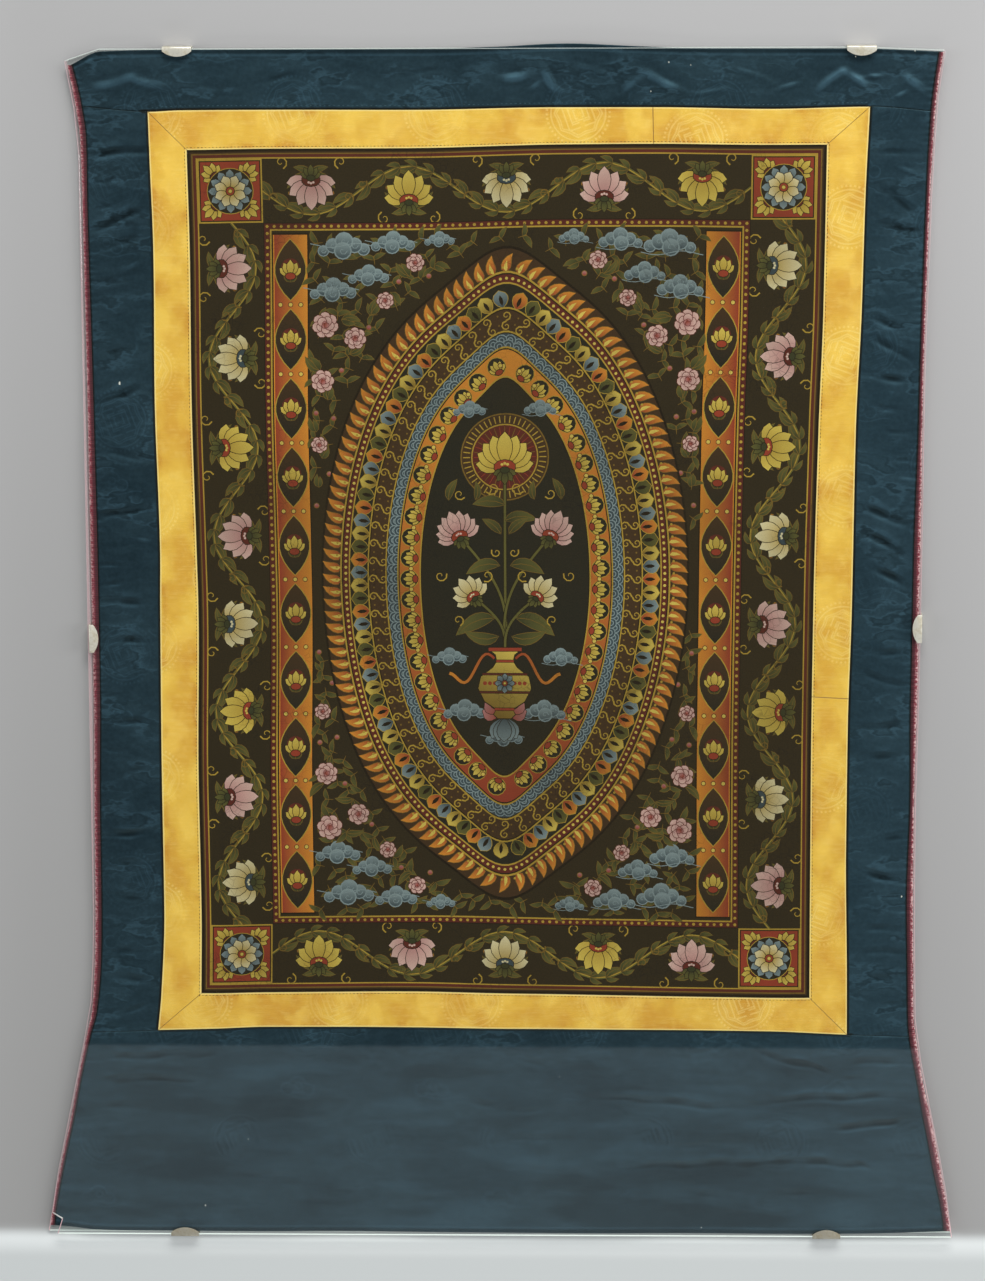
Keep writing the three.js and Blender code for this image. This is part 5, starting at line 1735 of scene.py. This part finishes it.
for _ in range(6):
    ends = np.concatenate((lines, lines[:, ::-1]))
    ends = ends[np.argsort(ends[:, 0], kind="stable")]
    spot, first, count = np.unique(ends[:, 0], return_index=True, return_counts=True)
    pairs = np.flatnonzero(count == 2)
    middle, near, far = spot[pairs], ends[first[pairs], 1], ends[first[pairs] + 1, 1]
    chord = flat[far] - flat[near]
    bulge = np.abs((np.conj(chord) * (flat[middle] - flat[near])).imag) / np.maximum(np.abs(chord), 1e-9)
    free = (bulge < SLACK) & (np.abs(chord) < 9.0) & (near != far)
    ticket = np.full(len(flat), len(flat) + 1)
    ticket[middle[free]] = middle[free]
    drop = free & (middle < ticket[near]) & (middle < ticket[far])
    gone = np.zeros(len(flat), bool)
    gone[middle[drop]] = True
    lines = lines[~gone[lines].any(1)]
    lines = np.unique(np.sort(np.concatenate((lines, np.stack((near[drop], far[drop]), 1))), axis=1), axis=0)

used, lines = np.unique(lines, return_inverse=True)
lines = lines.reshape(-1, 2)
finder = BVHTree.FromPolygons([(p.real, p.imag, 0.0) for p in flat], triangles.tolist())
points = np.concatenate((flat[used], inner_points(GRID, 3.0)))
flat, triangles, _, home = cut(points, edges=lines.tolist())
down = Vector((0, 0, -1))
middles = flat[triangles].mean(1)
found = [finder.ray_cast(Vector((p.real, p.imag, 1.0)), down)[2] for p in middles]
top_shape = np.array([top_shape[k] if k is not None else 0 for k in found])
print("second cut:", len(triangles), "triangles")

# %% [markdown]
# Each corner of each triangle takes the shade of its shape at that spot, so a blend stays smooth inside
# a shape while its edge stays sharp. Hand-mixed paint is never quite even, so every shape is also a
# touch lighter or darker than its neighbours.

# %% Colour the triangles
LINEAR = {name: np.array(paint(*shade)) for name, shade in SHADES.items()}
corner_place = flat[triangles]
corner_paint = np.ones((len(triangles), 3, 4))
order = np.argsort(top_shape, kind="stable")
starts = np.flatnonzero(np.diff(np.append(-1, top_shape[order])))
for rows in np.split(order, starts[1:]):
    _, shade, other, along = art.shapes[top_shape[rows[0]]]
    reach = outlines[top_shape[rows[0]]] / along
    share = (corner_place[rows] / along).real
    share = np.clip((share - reach.real.min()) / max(np.ptp(reach.real), 1e-6), 0, 1)[..., None]
    mixed = lerp(LINEAR[shade], LINEAR[other], share)
    mixed[..., :3] *= 1 + hand.uniform(-0.07, 0.07)
    corner_paint[rows] = mixed


def outline_of(triangles):
    """The rim of a triangulation, as its corners in order."""
    ways = np.concatenate([triangles[:, [0, 1]], triangles[:, [1, 2]], triangles[:, [2, 0]]])
    present = set(map(tuple, ways.tolist()))
    after = {a: b for a, b in ways.tolist() if (b, a) not in present}
    rim = [next(iter(after))]
    while len(rim) < len(after):
        rim.append(after[rim[-1]])
    return np.array(rim)


rim = outline_of(triangles)
points = np.concatenate((flat[rim], inner_points(BACK_GRID, 8.0)))
back_flat, back_triangles, _, back_home = cut(points, loops=[list(range(len(rim)))])
back_rim = np.array([back_home[k] for k in range(len(rim))])

# %% [markdown]
# The flat canvas is then carried onto the cloth: its rectangle becomes the slightly uneven opening of
# the border, and its height follows the same folds as everything else.

# %% The painted canvas
CANVAS_LEVEL, CANVAS_HALF = -0.34, 0.2
picture_place = patch(
    upright(left_inner, INNER["foot_left"][1], INNER["head_left"][1]),
    upright(right_inner, INNER["foot_right"][1], INNER["head_right"][1]),
    level(bottom_inner, INNER["foot_left"][0], INNER["foot_right"][0]),
    level(top_inner, INNER["head_left"][0], INNER["head_right"][0]),
)


def on_cloth(spots, height):
    x, up = picture_place(spots.real / WIDE, spots.imag / TALL)
    return to_frame(x, up, relief(x, up) + height)


front_points = on_cloth(flat, CANVAS_LEVEL + CANVAS_HALF)
back_points = on_cloth(back_flat, CANVAS_LEVEL - CANVAS_HALF)
offset = len(front_points)
around = np.roll(rim, -1)
back_around = np.roll(back_rim, -1)
walls = np.stack((around, rim, back_rim + offset, back_around + offset), 1)
faces = triangles.tolist() + (back_triangles[:, ::-1] + offset).tolist() + walls.tolist()
mesh = bpy.data.meshes.new("painted_canvas")
mesh.from_pydata(np.concatenate((front_points, back_points)).tolist(), [], faces)
bare = np.tile(LINEAR["umber"] * (1.6, 1.6, 1.5, 1), (len(mesh.loops) - 3 * len(triangles), 1))
colours = np.concatenate((corner_paint.reshape(-1, 4), bare)).astype(np.float32)
mesh.color_attributes.new("paint", "FLOAT_COLOR", "CORNER").data.foreach_set("color", colours.ravel())
everywhere = np.concatenate((flat, back_flat))
loops = np.zeros(len(mesh.loops), int)
mesh.loops.foreach_get("vertex_index", loops)
threads = np.stack((everywhere.real, everywhere.imag), -1)[loops].astype(np.float32)
mesh.uv_layers.new(name="mm").data.foreach_set("uv", threads.ravel())
mesh.shade_smooth()
canvas = stand("painted_canvas", mesh)

# %% [markdown]
# Matt mineral paint on a sized canvas: the weave shows faintly through, a net of hairline cracks runs
# across it, and rolling and handling have left the paint a little smoky, with small scuffs.

# %% Paint finish


def old_paint():
    finish = Finish("paint")
    threads, place = finish.threads(), finish.place()
    colour = finish.attribute("paint", "Color")
    x, y, _ = finish.parts(threads)
    smoke = finish.noise(place, 7.0, 5.0, 0.62).ease(0.3, 0.72)
    grain = finish.noise(threads, 0.9, 3.0, 0.7)
    cells = {"Vector": threads, "Scale": 0.19, "Randomness": 1.0}
    cracks = finish.node("ShaderNodeTexVoronoi", {"feature": "DISTANCE_TO_EDGE"}, cells)
    hair = (1 - cracks.ease(0.008, 0.05)) * finish.noise(place, 26.0, 2.0).ease(0.5, 0.64)
    scuff = finish.noise(finish.stretched(threads, (0.3, 1.0, 1.0)), 1.3, 6.0, 0.75)
    lost = scuff.ease(0.69, 0.74)
    base = finish.blend(0.08 + smoke * 0.36, colour, paint(46, 36, 16))
    base = finish.blend((grain - 0.4) * 0.3, base, paint(104, 82, 48))
    base = finish.blend(hair * 0.35, base, paint(24, 20, 18))
    base = finish.blend(lost * 0.5, base, paint(122, 100, 74))
    cloth = (x * (math.tau / 0.9)).sine() * (y * (math.tau / 0.9)).sine()
    height = cloth * 0.12 + grain * 0.5 - hair * 0.6 - lost * 0.3
    return finish.cloth(
        {
            "Base Color": base,
            "Roughness": 0.62 + 0.14 * smoke,
            "Normal": finish.bump(height, 0.25, 0.25 * MM),
            "Specular IOR Level": 0.15,
        }
    )


span = np.ptp(front_points, axis=0)
canvas_size = (float(span[0]), float(span[1]))
finish_cloth((canvas, canvas_size, canvas_size[0] * canvas_size[1]), old_paint(), "painting")
print("canvas:", [round(v / MM) for v in canvas_size], "mm,", len(mesh.polygons), "faces")

# %% [markdown]
# Two rows of hand stitches hold the border: one just inside its inner edge, all round the picture, and
# one in dark thread in the satin above it. A Geometry Nodes group walks a curve at the stitch pitch, sets
# a short bead of thread on each step and turns it along the curve, a little unevenly.

# %% Rows of stitches
NODE = "GeometryNode"


def stitch_group():
    group = bpy.data.node_groups.new("stitches", "GeometryNodeTree")
    group.interface.new_socket("Geometry", in_out="OUTPUT", socket_type="NodeSocketGeometry")
    sockets = {}
    for name, kind in (("Path", "Geometry"), ("Pitch", "Float"), ("Length", "Float"), ("Radius", "Float"),
                       ("Unevenness", "Float"), ("Seed", "Int"), ("Thread", "Material")):
        item = group.interface.new_socket(name, in_out="INPUT", socket_type="NodeSocket" + kind)
        sockets[name] = item.identifier
    nodes, links = group.nodes, group.links
    given, result = nodes.new("NodeGroupInput"), nodes.new("NodeGroupOutput")
    walk = nodes.new(NODE + "ResampleCurve")
    walk.mode = "LENGTH"
    bead = nodes.new(NODE + "MeshUVSphere")
    bead.inputs["Segments"].default_value, bead.inputs["Rings"].default_value = 6, 4
    bead.inputs["Radius"].default_value = 1.0
    size = nodes.new("ShaderNodeCombineXYZ")
    shape = nodes.new(NODE + "Transform")
    tangent, align = nodes.new(NODE + "InputTangent"), nodes.new("FunctionNodeAlignRotationToVector")
    align.axis = "X"
    sway, sizes = nodes.new("FunctionNodeRandomValue"), nodes.new("FunctionNodeRandomValue")
    for chance in (sway, sizes):
        chance.data_type = "FLOAT"
    lower = nodes.new("ShaderNodeMath")
    lower.operation = "MULTIPLY"
    lower.inputs[1].default_value = -1.0
    turn, spin = nodes.new("ShaderNodeCombineXYZ"), nodes.new("FunctionNodeEulerToRotation")
    both = nodes.new("FunctionNodeRotateRotation")
    place, real = nodes.new(NODE + "InstanceOnPoints"), nodes.new(NODE + "RealizeInstances")
    dress = nodes.new(NODE + "SetMaterial")
    sizes.inputs[2].default_value, sizes.inputs[3].default_value = 0.8, 1.1
    for start, end in (
        (given.outputs["Path"], walk.inputs["Curve"]),
        (given.outputs["Pitch"], walk.inputs["Length"]),
        (given.outputs["Length"], size.inputs["X"]),
        (given.outputs["Radius"], size.inputs["Y"]),
        (given.outputs["Radius"], size.inputs["Z"]),
        (bead.outputs["Mesh"], shape.inputs["Geometry"]),
        (size.outputs[0], shape.inputs["Scale"]),
        (tangent.outputs[0], align.inputs["Vector"]),
        (given.outputs["Unevenness"], lower.inputs[0]),
        (lower.outputs[0], sway.inputs[2]),
        (given.outputs["Unevenness"], sway.inputs[3]),
        (given.outputs["Seed"], sway.inputs["Seed"]),
        (given.outputs["Seed"], sizes.inputs["Seed"]),
        (sway.outputs[1], turn.inputs["Z"]),
        (turn.outputs[0], spin.inputs[0]),
        (align.outputs[0], both.inputs["Rotation"]),
        (spin.outputs[0], both.inputs["Rotate By"]),
        (walk.outputs[0], place.inputs["Points"]),
        (shape.outputs[0], place.inputs["Instance"]),
        (both.outputs[0], place.inputs["Rotation"]),
        (sizes.outputs[1], place.inputs["Scale"]),
        (place.outputs[0], real.inputs[0]),
        (real.outputs[0], dress.inputs["Geometry"]),
        (given.outputs["Thread"], dress.inputs["Material"]),
        (dress.outputs[0], result.inputs[0]),
    ):
        links.new(start, end)
    return group, sockets


STITCHES, STITCH_SOCKETS = stitch_group()


def thread_finish(name, shade):
    finish = Finish(name)
    tone = finish.noise(finish.place(), 400.0, 2.0)
    lighter = tuple(min(1.0, c * 1.4) for c in shade[:3]) + (1.0,)
    return finish.cloth({"Base Color": finish.blend(tone, shade, lighter), "Roughness": 0.6})


def stitch_row(name, points, values, material):
    """A mesh of stitches along a line of points in the frame."""
    path = bpy.data.curves.new(name + "_path", "CURVE")
    path.dimensions = "3D"
    line = path.splines.new("POLY")
    line.points.add(len(points) - 1)
    weighted = np.concatenate((points, np.ones((len(points), 1))), 1)
    line.points.foreach_set("co", weighted.astype(np.float32).ravel())
    walker = stand(name + "_path", path)
    sewing = walker.modifiers.new("stitches", "NODES")
    sewing.node_group = STITCHES
    for key, value in {**values, "Thread": material}.items():
        sewing[STITCH_SOCKETS[key]] = value
    bpy.context.view_layer.update()
    made = walker.evaluated_get(bpy.context.evaluated_depsgraph_get())
    mesh = bpy.data.meshes.new_from_object(made)
    mesh.shade_smooth()
    bpy.data.objects.remove(walker)
    row = stand(name, mesh)
    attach(row, "root")
    print(name + ":", len(mesh.polygons), "faces")


def offset_line(curve, start, end, shift, is_upright, height):
    t = np.linspace(0, 1, round(abs(end - start) / 2.0))
    along = lerp(start, end, t)
    x, up = (curve(along) + shift, along) if is_upright else (along, curve(along) + shift)
    return to_frame(x, up, relief(x, up) + height)


IN = 1.9  # mm from the folded edge
ON_SILK = SILK_LEVEL + SILK_HALF
lines = [
    offset_line(left_inner, INNER["foot_left"][1] - IN, INNER["head_left"][1] + IN, -IN, True, ON_SILK),
    offset_line(top_inner, INNER["head_left"][0] - IN, INNER["head_right"][0] + IN, IN, False, ON_SILK),
    offset_line(right_inner, INNER["head_right"][1] + IN, INNER["foot_right"][1] - IN, IN, True, ON_SILK),
    offset_line(bottom_inner, INNER["foot_right"][0] + IN, INNER["foot_left"][0] - IN, -IN, False, ON_SILK),
]
silk_thread = thread_finish("silk_thread", paint(84, 54, 16))
row = {"Pitch": 2.7 * MM, "Length": 0.85 * MM, "Radius": 0.24 * MM, "Unevenness": 0.16, "Seed": 3}
stitch_row("border_stitches", np.concatenate(lines), row, silk_thread)
satin_thread = thread_finish("satin_thread", paint(52, 82, 94))
ON_SATIN = SATIN_LEVEL + SATIN_HALF
above = offset_line(top_outer, OUTER["head_left"][0] + 4, OUTER["head_right"][0] - 3, 2.9, False, ON_SATIN)
row = {"Pitch": 3.4 * MM, "Length": 0.8 * MM, "Radius": 0.18 * MM, "Unevenness": 0.2, "Seed": 8}
stitch_row("head_stitches", above, row, satin_thread)

# %% [markdown]
# A few bits of pale lint are caught between cloth and sheet.

# %% Lint
LINT = table(
    "x up size",
    (-281.0, 668.0, 1.6),
    (307.0, 275.0, 1.0),
    (262.0, 909.0, 0.7),
    (305.0, 913.0, 0.8),
    (126.0, 905.0, 0.7),
    (142.0, 903.0, 0.6),
    (113.0, 884.0, 0.7),
    (157.0, 8.0, 0.7),
    (-228.0, 24.0, 0.8),
    (-194.0, 78.0, 0.5),
    (47.0, 130.0, 0.5),
)
lint = bmesh.new()
for row in LINT:
    high = relief(np.array([row["x"]]), np.array([row["up"]]))[0] + ON_SATIN
    ring = [hand.uniform(0.5, 1.0) * row["size"] * np.exp(1j * math.tau * k / 7) for k in range(7)]
    both = [(p, lift) for lift in (0.02, 0.22) for p in ring]
    spots = [(row["x"] + p.real * 0.6, row["up"] + p.imag, high + lift) for p, lift in both]
    corners = [lint.verts.new(tuple(to_frame(*spot))) for spot in spots]
    lint.faces.new(corners[7:])
    lint.faces.new(corners[6::-1])
    for k in range(7):
        lint.faces.new((corners[k], corners[(k + 1) % 7], corners[(k + 1) % 7 + 7], corners[k + 7]))
mesh = bpy.data.meshes.new("lint")
lint.to_mesh(mesh)
lint.free()
mesh.materials.append(Finish("lint").cloth({"Base Color": paint(214, 216, 206), "Roughness": 0.9}))
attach(stand("lint", mesh), "root")

# %% [markdown]
# The clear sheets keep the solids of the frame. Clear acrylic mirrors about four parts in a hundred
# from each face and lets the rest through. A shader that mixes a transparent and a glossy part by that
# share stays free of noise, and light still reaches the cloth. The cut rims are broken by a narrow bevel
# with a painted glow, brighter at the foot and on the right, so they read as thin pale lines, faintly
# green, with a painted pink reflection of the red tape along the sides.

# %% Clear sheets


def clear_sheet():
    finish = Finish("clear_sheet")
    facing = finish.node("ShaderNodeLayerWeight", None, {"Blend": 0.5}, out="Facing")
    mirror = 0.04 + 0.96 * facing**5
    sideways, _, upward = finish.parts(finish.node("ShaderNodeTexCoord", out="Normal"))
    _, along, _ = finish.parts(finish.place())
    rim = 1 - abs(upward).ease(0.8, 0.95)
    # Painted light: the rim glows, brighter at the foot and on the right, and its pink tint on the sides is
    # a painted reflection of the red tape.
    lit = 0.26 + 0.2 * sideways + 0.66 * (1 - along.ease(-0.45, -0.44))
    edge = finish.blend(abs(sideways).ease(0.3, 0.6), paint(214, 224, 218), paint(206, 170, 174))
    through = finish.node("ShaderNodeBsdfTransparent", None, {"Color": (0.985, 0.995, 0.99, 1)})
    shine = finish.node("ShaderNodeBsdfGlossy", None, {"Color": (1, 1, 1, 1), "Roughness": 0.02})
    glint = {"Base Color": edge, "Roughness": 0.3, "Emission Color": edge, "Emission Strength": 0.3}
    cut = finish.node("ShaderNodeBsdfPrincipled", None, glint)
    face = finish.node("ShaderNodeMixShader", None, {0: mirror, 1: through, 2: shine})
    return finish.show(finish.node("ShaderNodeMixShader", None, {0: rim * lit, 1: face, 2: cut}))


def rounded_copy(name, ending, material, width, segments):
    """A frame piece with its triangles merged and its corners bevelled."""
    shell = bmesh.new()
    shell.from_mesh(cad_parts[name].data)
    bmesh.ops.remove_doubles(shell, verts=shell.verts, dist=0.01 * MM)
    bmesh.ops.dissolve_limit(shell, angle_limit=math.radians(1), verts=shell.verts, edges=shell.edges)
    mesh = bpy.data.meshes.new(name + ending)
    shell.to_mesh(mesh)
    shell.free()
    copy = stand(name + ending, mesh)
    rounding = copy.modifiers.new("rounding", "BEVEL")
    rounding.width, rounding.segments, rounding.limit_method = width, segments, "ANGLE"
    rounding.angle_limit = math.radians(32)
    mesh.shade_smooth() if segments > 1 else mesh.shade_flat()
    mesh.materials.append(material)
    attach(copy, "root")
    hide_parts(name)


CLEAR = clear_sheet()
for name in ("sheet_back", "sheet_front"):
    rounded_copy(name, "_clear", CLEAR, 0.55 * MM, 1)
print("clear sheets dressed")

# %% [markdown]
# The clips are thin plated steel, cut and bent. They have the right form in the frame but knife edges,
# so each gets a bevel that is small enough to read only as a bright line.

# %% Spring clips


def plated_steel():
    finish = Finish("clip_steel")
    place = finish.place()
    scuffs = finish.noise(finish.stretched(place, (1.0, 0.25, 1.0)), 900.0, 4.0, 0.7)
    stain = finish.noise(place, 160.0, 3.0, 0.6)
    _, along, _ = finish.parts(place)
    base = finish.blend(stain.ease(0.42, 0.68), paint(226, 223, 208), paint(196, 189, 168))
    base = finish.blend(scuffs.ease(0.6, 0.72) * 0.6, base, paint(130, 122, 106))
    # Painted shade: the clips at the foot are darker.
    base = finish.blend((1 - along.ease(-0.44, -0.4)) * 0.65, base, paint(132, 124, 104))
    return finish.cloth(
        {
            "Base Color": base,
            "Metallic": 0.45,
            "Roughness": 0.36 + 0.3 * stain.ease(0.4, 0.7),
            "Normal": finish.bump(scuffs, 0.18, 0.1 * MM),
        }
    )


STEEL = plated_steel()
for name in [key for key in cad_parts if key.startswith("clip_")]:
    rounded_copy(name, "_plated", STEEL, 0.16 * MM, 2)
print("clips rounded")

# %% [markdown]
# A pale floor with painted shade and light around the scroll, soft light from large panels at the sides and
# head, and two cards that only mirrors see.
# The dark card is the dim room that a clear sheet would show; the pale one is the table in front of the
# scroll, whose reflection lies as a straight-edged veil over the lower part of the skirt.

# %% Studio
FLOOR_SIZE = 12.0
CARD_HEIGHT = 2.0
CARD_SIDE, CARD_HEAD, CARD_DEEP = 1.6, 0.9, 1.2
VEIL_UP = 155.0  # mm up from the foot, where the reflected table ends


def flat_card(name, low, high, height):
    mesh = bpy.data.meshes.new(name)
    plan = (low, (high[0], low[1]), high, (low[0], high[1]))
    mesh.from_pydata([(x, y, height) for x, y in plan], [], [(0, 1, 2, 3)])
    card = stand(name, mesh)
    return card


def glow(name, shade, strength):
    finish = Finish(name)
    return finish.show(finish.node("ShaderNodeEmission", None, {"Color": shade, "Strength": strength}))


def floor_with_painted_shade():
    finish = Finish("pale_floor")
    x, y, _ = finish.parts(finish.place())
    # Painted shade: darker to the left and towards the foot.
    base = finish.blend((x * 0.5 + y * 0.95).ease(-1.0, 1.0), paint(158, 158, 157), paint(186, 186, 187))
    # Painted shadow beside the scroll's long sides.
    base = finish.blend((1 - abs(x).ease(0.33, 0.46)) * 0.26, base, paint(108, 108, 107))
    # Lighter beyond the foot.
    base = finish.blend(1 - y.ease(-0.474, -0.45), base, paint(201, 206, 206))
    # Painted light: a pale strip just below the foot, where the scroll casts its shadow.
    base = finish.blend((1 - y.ease(-0.466, -0.455)) * y.ease(-0.482, -0.466), base, paint(226, 231, 231))
    return finish.cloth({"Base Color": base, "Roughness": 0.75})


floor = flat_card("floor", (-FLOOR_SIZE / 2, -FLOOR_SIZE / 2), (FLOOR_SIZE / 2, FLOOR_SIZE / 2), 0.0)
floor.data.materials.append(floor_with_painted_shade())

veil_y = VEIL_UP * MM + SHIFT_Y
slope = (camera.location.y - veil_y) / (camera.location.z - front_high[2])
card_y = veil_y - slope * (CARD_HEIGHT - front_high[2])
dark_card = flat_card("dim_room", (-CARD_SIDE, card_y), (CARD_SIDE, CARD_HEAD), CARD_HEIGHT)
dark_card.data.materials.append(glow("dim_room", (0.02, 0.022, 0.025, 1), 1.0))
pale_card = flat_card("table_edge", (-CARD_SIDE, card_y - CARD_DEEP), (CARD_SIDE, card_y), CARD_HEIGHT)
pale_card.data.materials.append(glow("table_edge", paint(200, 214, 220), 0.6))
for card in (dark_card, pale_card):
    card.visible_camera = card.visible_diffuse = card.visible_shadow = False
    card.visible_transmission = card.visible_volume_scatter = False


def panel(name, place, size, power, shade=(1, 1, 1)):
    lamp = bpy.data.lights.new(name, "AREA")
    lamp.shape = "RECTANGLE"
    lamp.size, lamp.size_y = size
    lamp.energy, lamp.color = power, shade
    holder = stand(name, lamp)
    holder.location = place
    holder.rotation_euler = (TARGET - Vector(place)).to_track_quat("-Z", "Y").to_euler()


panel("head_panel", (0.5, 2.6, 2.3), (2.2, 1.1), 102, (1.0, 0.99, 0.97))
panel("foot_panel", (0.0, -2.5, 1.6), (2.4, 0.8), 14, (1.0, 1.0, 1.0))
panel("left_panel", (-2.6, 0.4, 1.9), (1.2, 1.6), 20, (0.98, 0.99, 1.0))
panel("right_panel", (2.7, 0.4, 1.8), (1.2, 1.6), 38, (1.0, 0.99, 0.98))
world = bpy.data.worlds.new("studio")
world.use_nodes = True
world.node_tree.nodes["Background"].inputs["Color"].default_value = (0.78, 0.8, 0.83, 1)
world.node_tree.nodes["Background"].inputs["Strength"].default_value = 0.3
bpy.context.scene.world = world
bpy.context.scene.view_settings.view_transform = "Standard"
print("veil card starts at y", round(card_y, 2))
